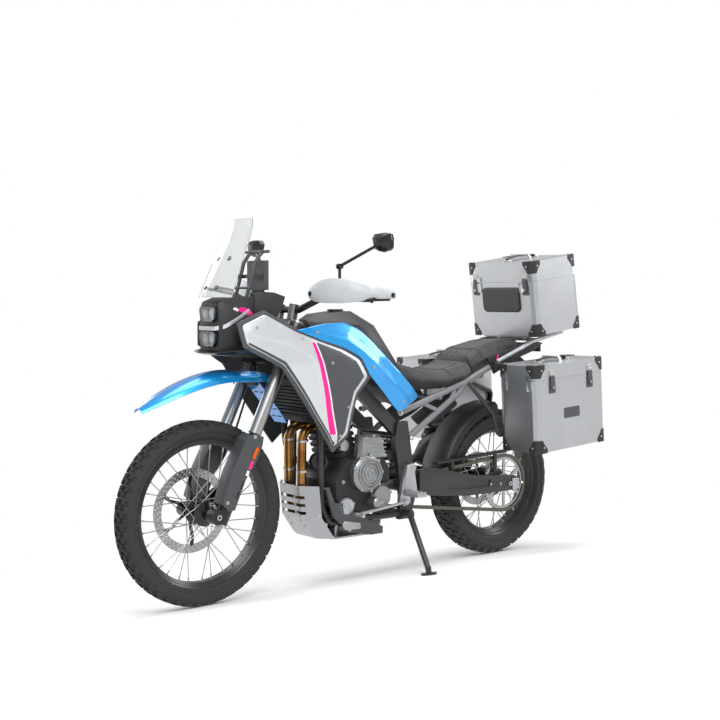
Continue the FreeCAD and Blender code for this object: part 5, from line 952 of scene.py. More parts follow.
side_shares = ((0.82, 1.0), (1.0, 0.92), (0.98, 0.78), (0.73, 0.63), (0.31, 0.0), (0.2, 0.09),
               (0.12, 0.4), (0.0, 0.52), (0.08, 0.65), (0.23, 0.73), (0.4, 0.79), (0.6, 0.87))
tank_side_shares = ((1.0, 0.93), (0.79, 0.99), (0.62, 1.0), (0.51, 0.93), (0.21, 0.49),
                    (0.0, 0.16), (0.18, 0.0), (0.4, 0.32), (0.47, 0.43), (0.54, 0.63),
                    (0.67, 0.74), (0.83, 0.82))
side_box = (118, 575, 542, 510)
tank_box = (-190, 682, 630, 368)
side_outline = placed(side_shares, *side_box)
tank_outline = placed(tank_side_shares, *tank_box)


def softened(outline, reach=16.0, steps=3):
    """An outline with its corners rounded, in the same order."""
    points = [Vector(p) for p in outline]
    line = []
    for before, here, after in zip(points[-1:] + points[:-1], points, points[1:] + points[:1]):
        cut = min(reach, (here - before).length * 0.4, (after - here).length * 0.4)
        start = here + (before - here).normalized() * cut
        end = here + (after - here).normalized() * cut
        for k in range(steps + 1):
            t = k / steps
            line.append(start * (1 - t) ** 2 + here * 2 * t * (1 - t) + end * t ** 2)
    return line


def inside(point, outline):
    """Whether a point lies within a closed outline."""
    found = False
    for a, b in zip(outline, outline[1:] + outline[:1]):
        if (a[1] > point.y) != (b[1] > point.y):
            if point.x < (b[0] - a[0]) * (point.y - a[1]) / (b[1] - a[1]) + a[0]:
                found = not found
    return found


def gap_to(point, a, b):
    """The distance from a point to a straight piece between two others."""
    a, run = Vector(a), Vector(b) - Vector(a)
    t = max(0.0, min(1.0, (point - a).dot(run) / max(run.length_squared, 1e-9)))
    return (a + run * t - point).length


def far_from(point, outline):
    """The distance from a point to a closed outline."""
    return min(gap_to(point, a, b) for a, b in zip(outline, outline[1:] + outline[:1]))


def patch(mesh, outline, rise, wall, edge):
    """A shell over an outline of (x, z): its face, broken edge, wall and back.

    It follows the width of the bodywork; rise gives a further step out over (x, z).
    """
    cell = 8.0
    border = anticlockwise([tuple(p) for p in outline])
    ring = []
    for a, b in zip(border, border[1:] + border[:1]):
        a, b = Vector(a), Vector(b)
        count = max(1, round((b - a).length / cell))
        ring += [a.lerp(b, k / count) for k in range(count)]
    low_x, high_x = min(p.x for p in ring), max(p.x for p in ring)
    z, high_z = min(p.y for p in ring), max(p.y for p in ring)
    points = list(ring)
    row = 0
    while z < high_z:
        x = low_x + (cell / 2 if row % 2 else 0)
        while x < high_x:
            spot = Vector((x, z))
            if inside(spot, ring) and far_from(spot, ring) > cell * 0.55:
                points.append(spot)
            x += cell
        z += cell * 0.87
        row += 1
    edges = [(k, (k + 1) % len(ring)) for k in range(len(ring))]
    spots, _, faces, _, _, _ = geometry.delaunay_2d_cdt(points, edges, [], 1, 0.01)
    loop = ring_of(faces, spots)

    def out(p, drop):
        """A place on the shell, this far under its face."""
        return Vector((p.x, body_half(p.x, p.y) + rise(p.x, p.y) - drop, p.y))

    small = inset([spots[k] for k in loop], edge)
    moved = dict(zip(loop, small))
    front = [mesh.verts.new(out(moved.get(k, p), 0.0)) for k, p in enumerate(spots)]
    side = {k: mesh.verts.new(out(spots[k], edge)) for k in loop}
    rear = [mesh.verts.new(out(p, wall)) for p in spots]
    for face in faces:
        mesh.faces.new([front[k] for k in face])
        mesh.faces.new([rear[k] for k in face][::-1])
    for a, b in zip(loop, loop[1:] + loop[:1]):
        mesh.faces.new((front[a], front[b], side[b], side[a]))
        mesh.faces.new((side[a], side[b], rear[b], rear[a]))


def ring_of(faces, spots):
    """The border of a flat triangle mesh as one anticlockwise loop of indexes."""
    border = {}
    for face in faces:
        for a, b in zip(face, list(face[1:]) + [face[0]]):
            if (b, a) in border:
                border.pop((b, a))
            else:
                border[(a, b)] = True
    follow = {a: b for a, b in border}
    start = next(iter(follow))
    loop = [start]
    while follow[loop[-1]] != start:
        loop.append(follow[loop[-1]])
    area = sum(spots[a].x * spots[b].y - spots[b].x * spots[a].y
               for a, b in zip(loop, loop[1:] + loop[:1]))
    return loop if area > 0 else loop[::-1]


def mirrored(mesh):
    """Adds the other side of a mesh, across the middle plane."""
    copied = bmesh.ops.duplicate(mesh, geom=mesh.verts[:] + mesh.edges[:] + mesh.faces[:])
    verts = [g for g in copied["geom"] if isinstance(g, bmesh.types.BMVert)]
    for vert in verts:
        vert.co.y = -vert.co.y
    bmesh.ops.reverse_faces(mesh, faces=[g for g in copied["geom"]
                                         if isinstance(g, bmesh.types.BMFace)])


def near_line(point, line):
    """Signed distance from a point to an open line, positive to its left."""
    gap, a, b = min(((gap_to(point, a, b), a, b) for a, b in zip(line, line[1:])),
                    key=lambda row: row[0])
    run, away = Vector(b) - Vector(a), point - Vector(a)
    return gap if run.x * away.y - run.y * away.x > 0 else -gap


def eased_step(value, low, high):
    """0 below low, 1 above high, and a smooth ramp between."""
    t = max(0.0, min(1.0, (value - low) / (high - low)))
    return t * t * (3 - 2 * t)


def shelled(outline, rise, wall=4.5, edge=1.6):
    """The same shell on both sides of the bodywork."""
    mesh = bmesh.new()
    patch(mesh, outline, rise, wall, edge)
    mirrored(mesh)
    return mesh


def panel_screws(shares, box, rise, up):
    """Screws on both sides of the bodywork, from shares of a box."""
    mesh = bmesh.new()
    for x, z in placed(shares, *box):
        y = body_half(x, z) + rise(x, z)
        for side in both:
            screw(mesh, (x, side * (y - 0.3), z), (0, side, up), size("screw_size"))
    return mesh


class MOTORCYCLE_OT_side_panels(bpy.types.Operator):
    """Silver side panels with a raised field, a dark rear field, a stripe and their screws"""
    bl_idname = "motorcycle.side_panels"
    bl_label = "Side panels"

    def execute(self, context):
        outline = softened(inset(anticlockwise(side_outline), 0.6), 14.0)
        ridge = placed(((0.97, 0.86), (0.7, 0.79), (0.5, 0.68), (0.44, 0.45), (0.34, 0.1)),
                       *side_box)

        def swell(x, z):
            """How far the panel stands out of the bodywork's width."""
            spot = Vector((x, z))
            return 3.2 * eased_step(-near_line(spot, ridge), -9.0, 9.0) \
                * eased_step(far_from(spot, outline), 0.0, 26.0) - 1.6

        def film(shares, lift):
            """A thin film on both side panels, within shares of their box."""
            return shelled(softened(placed(shares, *side_box), 5.0),
                           lambda x, z: swell(x, z) + lift, 0.35, 0.1)

        long = side_box[2]
        stripe, thin = size("stripe_width") / long, 3.0 / long
        line = [(0.49, 0.79), (0.45, 0.62), (0.405, 0.36), (0.36, 0.1)]
        right = [(a - stripe * (0.9 + 0.3 * k), b) for k, (a, b) in enumerate(line)]
        beside_it = [(a - thin * 0.8, b) for a, b in right]
        field = [(a - thin * 2.6, b) for a, b in right] + [
            (0.285, 0.03), (0.225, 0.115), (0.15, 0.41), (0.045, 0.52), (0.11, 0.64),
            (0.25, 0.715)]
        band = ((0.968, 0.80), (0.715, 0.655), (0.33, 0.055), (0.30, 0.03), (0.315, 0.012),
                (0.73, 0.636), (0.974, 0.785))
        screws = ((0.335, 0.635), (0.2, 0.3), (0.9, 0.9), (0.27, 0.09), (0.56, 0.82))
        finish_all(
            "chassis",
            ("side_panel_shells", shelled(outline, swell), "silver", 40.0, ("side_panels",)),
            ("side_panel_stripes", film(line + right[::-1], 0.5), "magenta"),
            ("side_panel_pinstripes",
             film(beside_it + [(a - thin, b) for a, b in reversed(beside_it)], 0.5), "white"),
            ("side_panel_fields", film(field, 0.4), "dark"),
            ("side_panel_edges", film(band, 0.4), "dark"),
            ("side_panel_screws", panel_screws(screws, side_box, swell, 0.1), "zinc"))
        return {"FINISHED"}


class MOTORCYCLE_OT_tank_panels(bpy.types.Operator):
    """Blue tank panels with a crease, and their screws"""
    bl_idname = "motorcycle.tank_panels"
    bl_label = "Tank panels"

    def execute(self, context):
        outline = softened(inset(anticlockwise(tank_outline), 0.8), 16.0)
        crease = placed(((0.9, 0.93), (0.62, 0.86), (0.4, 0.58), (0.12, 0.16)), *tank_box)

        def swell(x, z):
            """How far the panel stands out of the bodywork's width."""
            spot = Vector((x, z))
            return 5.0 * eased_step(near_line(spot, crease), -14, 14) \
                * eased_step(far_from(spot, outline), 0.0, 30.0) - 0.6

        screws = ((0.16, 0.13), (0.45, 0.52), (0.86, 0.9))
        finish_all(
            "chassis",
            ("tank_panel_shells", shelled(outline, swell), "blue", 40.0, ("tank_panels",)),
            ("tank_panel_screws", panel_screws(screws, tank_box, swell, 0.2), "zinc"))
        return {"FINISHED"}


fender_shares = ((0.0, 0.37, 1.0, 0.38), (0.12, 0.72, 0.69, 0.62), (0.28, 0.93, 0.35, 0.81),
                 (0.44, 1.0, 0.11, 0.95), (0.59, 0.98, 0.0, 1.0), (0.75, 0.9, 0.02, 0.95),
                 (0.9, 0.84, 0.08, 0.86), (1.0, 0.78, 0.17, 0.7))
bow_shares = ((-1, 1), (-0.93, 0.72), (-0.82, 0.42), (-0.62, 0.2), (-0.34, 0.05), (-0.2, 0.02),
              (0, 0), (0.2, 0.02), (0.34, 0.05), (0.62, 0.2), (0.82, 0.42), (0.93, 0.72), (1, 1))


class MOTORCYCLE_OT_fender(bpy.types.Operator):
    """Blue high front fender with its rolled edge, slotted tail, bridge and screws"""
    bl_idname = "motorcycle.fender"
    bl_label = "Front fender"

    def execute(self, context):
        fine = eased(fender_shares, 6)
        tip, long, widest, top, fall, bow_depth = 1008, 560, 76, 876, 124, 42
        shell, lip, under, slots, screws = batch(5)

        def bow(station, drop, tight):
            """The fender's cross-section at one of its stations."""
            along, half, down, bend = station
            return [Vector((tip - long * along, (widest * half - tight) * y,
                            top - fall * down - drop - bow_depth * bend * z * (1 - 0.03 * drop)))
                    for y, z in bow_shares]

        lofted(shell, [bow(s, 0.0, 0.0) + bow(s, 3.4, 2.6)[::-1] for s in fine])
        for side in both:
            line = [Vector((tip - long * s[0], side * (widest * s[1] - 0.6),
                            top - fall * s[2] - bow_depth * s[3] - 0.8)) for s in fine[::2]]
            tube(lip, line, 1.9, 8, 2)
        place = [(560, 56, 856), (510, 49, 812), (470, 46, 764), (420, 43, 706), (388, 39, 662)]
        fine_line = eased(place, 5)
        lofted(under, [[(p.x - back, side * p.y, p.z)
                        for back, side in ((0, -1), (0, 1), (3.5, 1), (3.5, -1))]
                       for p in fine_line])
        for p in fine_line[8:-1:3]:
            for side in (-1, 1):
                face = on_plane((p.x, side * p.y * 0.45, p.z), (0.78, 0, -0.62))
                slab(slots, rounded(p.y * 0.62, 6, 2, 3), 0.1, 0.7, 0.3, face)
        slab(slots, [(548, 838), (470, 862), (462, 826), (520, 812)], -37, 37, 3.0)
        for x, y in ((560, 46), (512, 40), (600, 48)):
            for side in both:
                screw(screws, *cast(("front_fender",), (x, side * y, 1000), (0, 0, -1)), 4.6)
        finish_all("steering",
                   ("front_fender_shell", shell, "blue", 42.0, ("front_fender",)),
                   ("front_fender_rolled_edge", lip, "blue"),
                   ("front_fender_tail", under, "blue", 35.0),
                   ("front_fender_bridge_and_slots", slots, "black", 35.0),
                   ("front_fender_screws", screws, "zinc"))
        return {"FINISHED"}


class MOTORCYCLE_OT_seats(bpy.types.Operator):
    """Two-level seat: swollen covers with welted seams and stitching"""
    bl_idname = "motorcycle.seats"
    bl_label = "Seats"

    def execute(self, context):
        frames = 20
        for node in ("rider_seat", "pillion_seat"):
            mesh = solid_of(node)
            middle = sum((v.co for v in mesh.verts), Vector()) / len(mesh.verts)
            for vert in mesh.verts:
                vert.co = middle + (vert.co - middle) * 0.985
            mesh.transform(upright_to_row)
            piece = linked(node + "_cover", mesh)
            remesh = piece.modifiers.new("voxels", "REMESH")
            remesh.mode = "VOXEL"
            remesh.voxel_size = 0.009 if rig.quick() else 0.0055
            remesh.use_smooth_shade = True
            bake(piece)
            before = [vertex.co.copy() for vertex in piece.data.vertices]
            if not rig.quick():
                cloth = piece.modifiers.new("swell", "CLOTH")
                cloth.settings.use_pressure = True
                cloth.settings.uniform_pressure_force = 4.0
                cloth.settings.effector_weights.gravity = 0.0
                cloth.settings.quality = 4
                cloth.point_cache.frame_start = 1
                cloth.point_cache.frame_end = frames
                for number in range(1, frames + 1):
                    context.scene.frame_set(number)
                bake(piece)
                context.scene.frame_set(1)
            cap = size("seat_swell") / 1000
            low, high = min(p.z for p in before), max(p.z for p in before)
            for vert, old in zip(piece.data.vertices, before):
                move = vert.co - old
                share = min(1.0, max(0.0, (old.z - low) / (high - low) * 2.2 - 0.35))
                limit = cap * (0.15 + 0.85 * share)
                if move.length > limit:
                    move *= limit / move.length
                vert.co = old + move
            smooth = piece.modifiers.new("even", "SMOOTH")
            smooth.iterations = 4
            smooth.factor = 0.5
            detail = piece.modifiers.new("detail", "SUBSURF")
            detail.levels = 1
            detail.render_levels = 1
            bake(piece)
            for polygon in piece.data.polygons:
                polygon.use_smooth = True
            piece.data.materials.clear()
            piece.data.materials.append(finishes["seat_dark"])
            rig.slot(piece, "seat_cover")
            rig.ride(piece, "chassis")
            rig.replaces(piece, node)
            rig.padded(piece, fill=0.75)
            self.seams(node, piece)
        return {"FINISHED"}

    def seams(self, node, piece):
        """Welts where the cover's panels meet, with a row of stitches beside each."""
        cover = bmesh.new()
        cover.from_mesh(piece.data)
        cover.transform(row_to_upright)
        tree = BVHTree.FromBMesh(cover)
        low, high = min(v.co.x for v in cover.verts), max(v.co.x for v in cover.verts)
        cover.free()
        welts, threads = batch(2)
        stitch = size("stitch")

        def drawn(line, lift):
            """Where the rays of a line meet the cover, lifted off it a little."""
            hits = (tree.ray_cast(start, Vector(way).normalized())[:2] for start, way in line)
            return [spot + normal * lift for spot, normal in hits if spot is not None]

        above, down = 1300, (0, 0, -1)
        lines = []
        for side in both:
            line = []
            for k in range(46):
                x = low + 14 + (high - low - 28) * k / 45
                top = tree.ray_cast((x, 0, above), down)[0]
                if top is None:
                    continue
                line.append(((x, 0, top.z - 30), (0, side, 0.42)))
            lines.append(line)
        for share in (0.34,) if node == "rider_seat" else (0.2, 0.8):
            x = low + (high - low) * share
            lines.append([((x + 10 * math.cos(y / 60), y, above), down)
                          for y in range(-150, 151, 10)])
        for line in lines:
            spots = drawn(line, 0.4)
            if len(spots) < 6:
                continue
            runs = [spots[0]]
            for spot in spots[1:]:
                if (spot - runs[-1]).length < 60:
                    runs.append(spot)
            tube(welts, runs, 1.7, 8, 3)
            fine = eased(runs, 6)
            reach = 0.0
            for a, b in zip(fine, fine[1:]):
                reach += (b - a).length
                if reach >= stitch * 1.5:
                    reach = 0.0
                    run = (b - a).normalized()
                    shift = (0, 0, 6.0) if abs(run.x) > 0.6 else (6.0, 0, 0)
                    spot, normal, _, _ = tree.find_nearest(a + Vector(shift))
                    if spot is not None:
                        tube(threads, [spot + normal * 0.4 - run * stitch / 2,
                                       spot + normal,
                                       spot + normal * 0.4 + run * stitch / 2], 0.75, 6, 2)
        finished(node + "_welts", welts, "seat_dark", "chassis")
        finished(node + "_stitches", threads, "thread", "chassis")


class MOTORCYCLE_OT_cases(bpy.types.Operator):
    """Aluminium cases: folded shells, corner caps with rivets, latches, handles and pads"""
    bl_idname = "motorcycle.cases"
    bl_label = "Cases"

    cases = (
        ("pannier_box_left", "pannier_lid_left", "left_lid", "pannier", 1),
        ("pannier_box_right", "pannier_lid_right", "right_lid", "pannier", -1),
        ("top_case_box", "top_case_lid", "top_lid", "top", 1),
    )
    # By kind: length, where each side is, height, and the height of the seam.
    measures = {"top": (290.0, -200.0, 200.0, 328.0, 240.0),
                "pannier": (425.0, 0.0, 215.0, 362.0, 300.0)}

    def local(self, kind, side):
        """Turns a case's own (length, width, height) into a place on the upright machine."""
        pitch = math.radians(8.0 if kind == "top" else 3.7)
        corner = Vector((-850, 0, 972) if kind == "top" else (-600, side * 226, 500))
        back = Vector((-math.cos(pitch), 0, math.sin(pitch)))
        up = Vector((math.sin(pitch), 0, math.cos(pitch)))
        out = Vector((0, side, 0))
        return lambda a, b, h: corner + back * a + out * b + up * h

    def execute(self, context):
        for box_node, lid_node, lid_body, kind, side in self.cases:
            for node in (box_node, lid_node):
                smoothed(node, "case", 30.0, 1.6, 2500.0)
            self.fittings(box_node, lid_body, kind, side)
        return {"FINISHED"}

    def fittings(self, box_node, lid_body, kind, side):
        """Caps on the eight corners of one case, and what is screwed to its sides."""
        place = self.local(kind, side)
        name = box_node.replace("_box", "")
        long, low_b, high_b, tall, _ = self.measures[kind]
        for body, height, part, rise in (("chassis", 0.0, "box", 1), (lid_body, tall, "lid", -1)):
            caps, rivets = batch(2)
            for a, way_a in ((0.0, -1), (long, 1)):
                for b, way_b in ((low_b, -1), (high_b, 1)):
                    self.cap(caps, rivets, place, (a, b, height), way_a, way_b, rise)
            finished("%s_%s_caps" % (name, part), caps, "black", body, 35.0)
            finished("%s_%s_rivets" % (name, part), rivets, "zinc", body, 40.0)
        self.latches(name, place, kind, lid_body)

    def cap(self, mesh, rivets, place, corner, way_a, way_b, rise):
        """A moulded cap round one corner of a case, with a rivet on each leaf and on its end."""
        a, b, h = corner
        leaf, turn, wall = 52.0, 26.0, 2.8
        plan = [(0.0, leaf), (0.0, leaf * 0.72)] + [
            (turn - turn * math.cos(k * math.pi / 12), turn - turn * math.sin(k * math.pi / 12))
            for k in range(7)] + [(leaf * 0.72, 0.0), (leaf, 0.0)]
        heights = [0.3, 0.62] + [1.0] * 7 + [0.62, 0.3]
        rings = []
        for (u, v), share in zip(plan, heights):
            if u < turn and v < turn:
                away = (Vector((u, v)) - Vector((turn, turn))).normalized()
            else:
                away = Vector((-1, 0) if u <= 0.01 else (0, -1))
            ring = []
            for reach, height in ((0.25, -wall), (wall - 0.6, -wall), (wall, -wall + 0.6),
                                  (wall, leaf * share - 0.6), (wall - 0.6, leaf * share),
                                  (0.25, leaf * share)):
                x, y = u + away.x * reach, v + away.y * reach
                ring.append(place(a - way_a * x, b - way_b * y, h + rise * height))
            rings.append(ring)
        lofted(mesh, rings)
        flat = [(u - 1.0 if u <= 0.01 else u, v - 1.0 if v <= 0.01 else v) for u, v in plan]
        flat.append((leaf * 0.45, leaf * 0.45))
        slab(mesh, flat, -0.25, -wall, 0.5,
             lambda u, v, t: place(a - way_a * u, b - way_b * v, h + rise * t))
        for u, v, w, normal in ((-wall, leaf * 0.62, leaf * 0.4, (way_a, 0, 0)),
                                (leaf * 0.62, -wall, leaf * 0.4, (0, way_b, 0)),
                                (leaf * 0.4, leaf * 0.4, -wall, (0, 0, -rise))):
            turned(rivets, [(3.9, -0.6), (3.9, 0.6), (3.1, 1.6), (1.4, 2.1)],
                   place(a - way_a * u, b - way_b * v, h + rise * w),
                   place(*normal) - place(0, 0, 0), 12)

    def latches(self, name, place, kind, lid_body):
        """Latches with keepers, a carrying handle, and a back pad or a blank plate."""
        long, low_b, high_b, tall, seam_at = self.measures[kind]
        keepers, latch, handle, plate, ends = batch(5)
        top = kind == "top"
        na, nb = (-1, 0) if top else (0, 1)
        for a, b in ((0, -152), (0, 152)) if top else ((95, high_b), (330, high_b)):
            def on_face(u, v, t):
                """A place beside a latch: across, up and outwards."""
                return place(a + na * t + u * nb, b + nb * t - u * na, seam_at + v)

            for mesh, wide, high, corner, steps, v, low, outer, edge in (
                    (keepers, 34, 26, 4, 3, 26, 0.2, 2.4, 0.6),
                    (keepers, 22, 7, 3, 3, 22, 2.2, 7.0, 0.8),
                    (latch, 38, 48, 5, 3, -34, 0.2, 2.6, 0.6),
                    (latch, 26, 58, 6, 4, -14, 2.8, 6.4, 1.2),
                    (latch, 18, 16, 5, 4, -34, 6.2, 9.4, 1.2)):
                slab(mesh, rounded(wide, high, corner, steps, (0, v)), low, outer, edge, on_face)
            spot = on_face(0, -34, 9.2)
            face = on_face(0, 0, 1) - on_face(0, 0, 0)
            turned(keepers, [(5.2, 0), (5.2, 1.2), (2.0, 1.6), (1.8, 0.6)], spot, face, 16)
        finished(name + "_keepers", keepers, "zinc", lid_body)
        finished(name + "_latches", latch, "dark", "chassis")
        if top:
            slab(plate, rounded(226, 110, 22, 5, (0, 162)), 0.4, 10.0, 5.0,
                 lambda u, v, t: place(-t, u, v))
            finished(name + "_back_pad", plate, "seat_dark", "chassis")
            shares = (0.2, 0.24, 0.5, 0.76, 0.8)
        else:
            slab(plate, rounded(96, 44, 5, 4, (212, 150)), 0.2, 1.6, 0.5,
                 lambda u, v, t: place(u, high_b + t, v))
            finished(name + "_label_plate", plate, "dark", "chassis")
            shares = (0.3, 0.33, 0.5, 0.67, 0.7)
        middle = [place(long * share, (low_b + high_b) / 2, tall + rise)
                  for share, rise in zip(shares, (1.5, 12, 17, 12, 1.5))]
        self.strap(handle, eased(middle, 6), place)
        backward, across, upward = (place(*way) - place(0, 0, 0)
                                    for way in ((1, 0, 0), (0, 1, 0), (0, 0, 1)))
        for spot in (middle[0], middle[-1]):
            slab(ends, rounded(38, 24, 4, 3), -1.2, 3.2, 0.8, on_plane(spot, upward, backward))
            for way in both:
                screw(ends, spot + upward * 3.0 + across * 12 * way, upward, 3.6)
        finish_all(lid_body, (name + "_handle", handle, "webbing", 30.0),
                   (name + "_handle_ends", ends, "zinc"))

    def strap(self, mesh, line, place):
        """A flat woven handle along a line."""
        across = (place(0, 1, 0) - place(0, 0, 0)).normalized()
        rings = []
        for k, spot in enumerate(line):
            after = (line[min(k + 1, len(line) - 1)] - line[max(k - 1, 0)]).normalized()
            up = across.cross(after)
            rings.append([spot + across * u + up * v for u, v in (
                (-13, 0), (-12, 1.6), (12, 1.6), (13, 0), (12, -1.6), (-12, -1.6))])
        lofted(mesh, rings)


front, lamp_low, lamp_high = 708.0, 962.0, 1054.0
lamp_share = ((-1, 0.82), (-0.8, 1.0), (0.8, 1.0), (1, 0.82), (0.86, 0.18), (0.6, 0.0),
              (-0.6, 0.0), (-0.86, 0.18))


class MOTORCYCLE_OT_lamps(bpy.types.Operator):
    """Stacked headlamps: bezel, reflector tray, projectors with lenses, and a clear cover"""
    bl_idname = "motorcycle.lamps"
    bl_label = "Headlamps"

    def execute(self, context):
        bezel, tray, cups, lenses, cover = batch(5)
        for low in (lamp_low, lamp_high):
            def shell(mesh, stations):
                """A lamp-shaped solid through stations of a place and a size."""
                rings = []
                for x, grow in stations:
                    ring = [(58 * grow * a, low + 30 + 60 * (b - 0.5) * grow)
                            for a, b in lamp_share]
                    rings.append([(x, p.x, p.y) for p in softened(anticlockwise(ring), 8.0, 3)])
                lofted(mesh, rings)

            shell(bezel, ((front - 23.5, 0.9), (front + 6, 0.995), (front + 10, 0.97),
                          (front + 10.5, 0.93), (front + 4, 0.87), (front - 14, 0.82)))
            shell(tray, ((front - 13.6, 0.8), (front - 12.6, 0.8), (front - 12, 0.78)))
            shell(cover, ((front + 5.0, 0.866), (front + 9.0, 0.925), (front + 12.5, 0.86),
                          (front + 13.2, 0.6)))
            for y in (-24, 24):
                spot = Vector((front - 11.5, y, low + 30))
                turned(cups, [(19, -0.4), (20, 6), (19, 12.5), (16.5, 12.8), (15.0, 8.0)],
                       spot, (1, 0, 0), 32)
                turned(lenses, [(15.2, 5.0), (15.0, 10.0), (12.6, 13.4), (8.2, 15.6),
                                (3.4, 16.6)], spot, (1, 0, 0), 32)
                slab(cups, rounded(40, 5, 2, 3, (y, low + 9)), front - 11.8, front - 4, 0.8,
                     forwards)
                for row in range(3):
                    slab(cups, rounded(3, 34 - row * 6, 1, 2, (y * 1.96 + row * 1.2, low + 30)),
                         front - 11.8, front - 8 + row, 0.5, forwards)
        finish_all("chassis", ("headlamp_bezels", bezel, "gloss", 35.0, ("headlamps",)),
                   ("headlamp_trays", tray, "gloss"),
                   ("headlamp_projector_rings", cups, "steel"),
                   ("headlamp_projector_lenses", lenses, "glow"),
                   ("headlamp_covers", cover, "lens"))
        return {"FINISHED"}


class MOTORCYCLE_OT_cowl(bpy.types.Operator):
    """Cowl with flashes and light band, clear screen with its screws, tower, tank and beak"""
    bl_idname = "motorcycle.cowl"
    bl_label = "Cowl and screen"

    def execute(self, context):
        smooth_all(("front_cowl", "black", 33.0, 1.2), ("windscreen", "screen", 50.0, 0.8),
                   ("nav_tower", "dark", 50.0))
        band, screws, grommets, flash, spark, beak = batch(6)
        for side in both:
            spots = [(Vector((716.5, 0, 1032)), Vector((1, 0, 0))),
                     (Vector((716.5, side * 52, 1032)), Vector((1, side * 0.25, 0)))]
            spots += [beside(("front_cowl",), x, z, side)
                      for x, z in ((690, 1040), (660, 1056), (626, 1076), (592, 1097))]
            rings = []
            for place, normal in spots:
                normal = normal.normalized()
                rings.append([place + normal * reach + Vector((0, 0, rise))
                              for reach, rise in ((-2.0, -7.5), (3.4, -7.5), (4.6, 0), (3.4, 7.5),
                                                  (-2.0, 7.5))])
            lofted(band, rings)
        finished("light_band_strips", band, "silver", "chassis", 40.0, ("light_band",))
        smooth_all(("panel_trims", "dark", 30.0, 1.0), ("fuel_tank", "black", 40.0, 5.0))
        for z in (1182, 1290):
            for y in (38, -38):
                spot, normal = cast(("windscreen",), (900, y, z), (-1, 0, 0))
                turned(grommets, [(9, 0.1), (9, 1.6), (6.4, 2.2), (4.4, 2.2)], spot, normal, 20)
                screw(screws, spot + normal * 2.0, normal, 3.6)
        for side in both:
            # The small white patch at the tip of each flash is a painted highlight.
            for mesh, outline in (
                    (flash, [(575, 1085), (596, 1079), (640, 1100), (622, 1110), (590, 1103)]),
                    (spark, [(636, 1093), (655, 1103), (648, 1110), (634, 1104)])):
                ring = [beside(("front_cowl",), x, z, side)
                        for x, z in softened(anticlockwise(outline), 4.0, 2)]
                outer = [mesh.verts.new(p + n) for p, n in ring]
                inner = [mesh.verts.new(p + n * 0.5) for p, n in ring]
                skin(mesh, [inner, outer])
                bmesh.ops.triangulate(mesh, faces=[mesh.faces.new(inner[::-1]),
                                                   mesh.faces.new(outer)])
            line = [(746, 0, 946), (744, side * 36, 946), (728, side * 76, 947),
                    (684, side * 112, 951), (624, side * 140, 957), (562, side * 160, 966)]
            stations = eased(line, 5)
            rings = []
            for k, p in enumerate(stations):
                share = k / (len(stations) - 1)
                out = Vector((1 - share * 0.7, side * share * 0.8, 0)).normalized()
                wide = 58 * (1 - share * 0.35)
                rings.append([p - out * wide * back + Vector((0, 0, rise))
                              for back, rise in ((0, 0), (0.4, 5), (1, 6), (1, 1), (0.5, -12),
                                                 (0, -4))])
            lofted(beak, rings)
        finish_all("chassis", ("screen_grommets", grommets, "rubber"),
                   ("screen_screws", screws, "zinc"), ("cowl_flashes", flash, "magenta"),
                   ("cowl_flash_tips", spark, "white"), ("beak_lip", beak, "gloss", 40.0))
        return {"FINISHED"}


guard_section = ((0, -0.98), (7, -0.72), (11, -0.2), (10, 0.25), (3, 0.8), (-6, 1.04),
                 (-9, 1.0), (-1, 0.72), (5.5, 0.2), (6.5, -0.2), (3, -0.66), (-3, -0.94))


def on_side(side, *points):
    """Places given for the left side, on one side."""
    return [Vector((x, side * y, z)) for x, y, z in points]


class MOTORCYCLE_OT_controls(bpy.types.Operator):
    """Bar with grips, levers, mirrors and handguards"""
    bl_idname = "motorcycle.controls"
    bl_label = "Bar and controls"

    def execute(self, context):
        smooth_all(("handlebar", "rim", 50.0), ("mirrors", "gloss", 32.0, 1.6),
                   ("grips", "rubber", 50.0))
        guards, mounts, levers, glass = batch(4)
        for side in both:
            stations = eased(on_side(side, (392, 196, 1158), (386, 250, 1161), (366, 318, 1163),
                                     (318, 384, 1160), (250, 424, 1157), (176, 436, 1153)), 6)
            last = len(stations) - 1
            rings = []
            for k, p in enumerate(stations):
                share = k / last
                run = (stations[min(k + 1, last)] - stations[max(k - 1, 0)]).normalized()
                out = run.cross(Vector((0, 0, 1))) * side
                tall = 20 + 32 * math.sin(math.pi * min(1.0, share * 1.25 + 0.05)) ** 0.8 \
                    if share < 0.8 else 20 + 8 * (1 - share) * 5
                deep = tall * (0.75 if share < 0.7 else 0.6)
                rings.append([p + out * (reach - 4)
                              + Vector((0, 0, height * (tall if height > 0 else deep)))
                              for reach, height in guard_section])
            lofted(guards, rings)
            for row in (((392, 206, 1160), (1, 0.1, 0)), ((190, 434, 1154), (0, 1, 0))):
                spot, way = on_side(side, *row)
                turned(mounts, [(9, -3), (9, 8.0), (6.5, 8.6), (6.0, 6.5)], spot, way, 20)
                screw(levers, spot + way * 6.0, way, 4.4)
            tube(mounts, on_side(side, (392, 200, 1160), (372, 190, 1150), (346, 182, 1142)),
                 6.5, 10, 4)
            tube(levers, on_side(side, (300, 236, 1150), (330, 270, 1146), (322, 330, 1140),
                                 (286, 390, 1134), (266, 404, 1133)),
                 lambda t: 6.0 - 2.4 * abs(t - 0.3), 10, 5)
            turned(levers, [(2, -8), (6, -6), (7.6, 0), (6, 6), (2, 8)],
                   (264, side * 406, 1133), (0, 0, 1), 16)
            slab(glass, rounded(104, 66, 20, 5), 0.3, 1.4, 0.5,
                 on_plane(*cast(("mirrors",), (0, side * 418, 1349), (1, 0, 0))))
        finish_all("steering", ("handguard_shields", guards, "pale", 38.0, ("handguards",)),
                   ("handguard_mounts", mounts, "black"), ("lever_blades", levers, "gloss"),
                   ("mirror_glasses", glass, "mirror"))
        return {"FINISHED"}


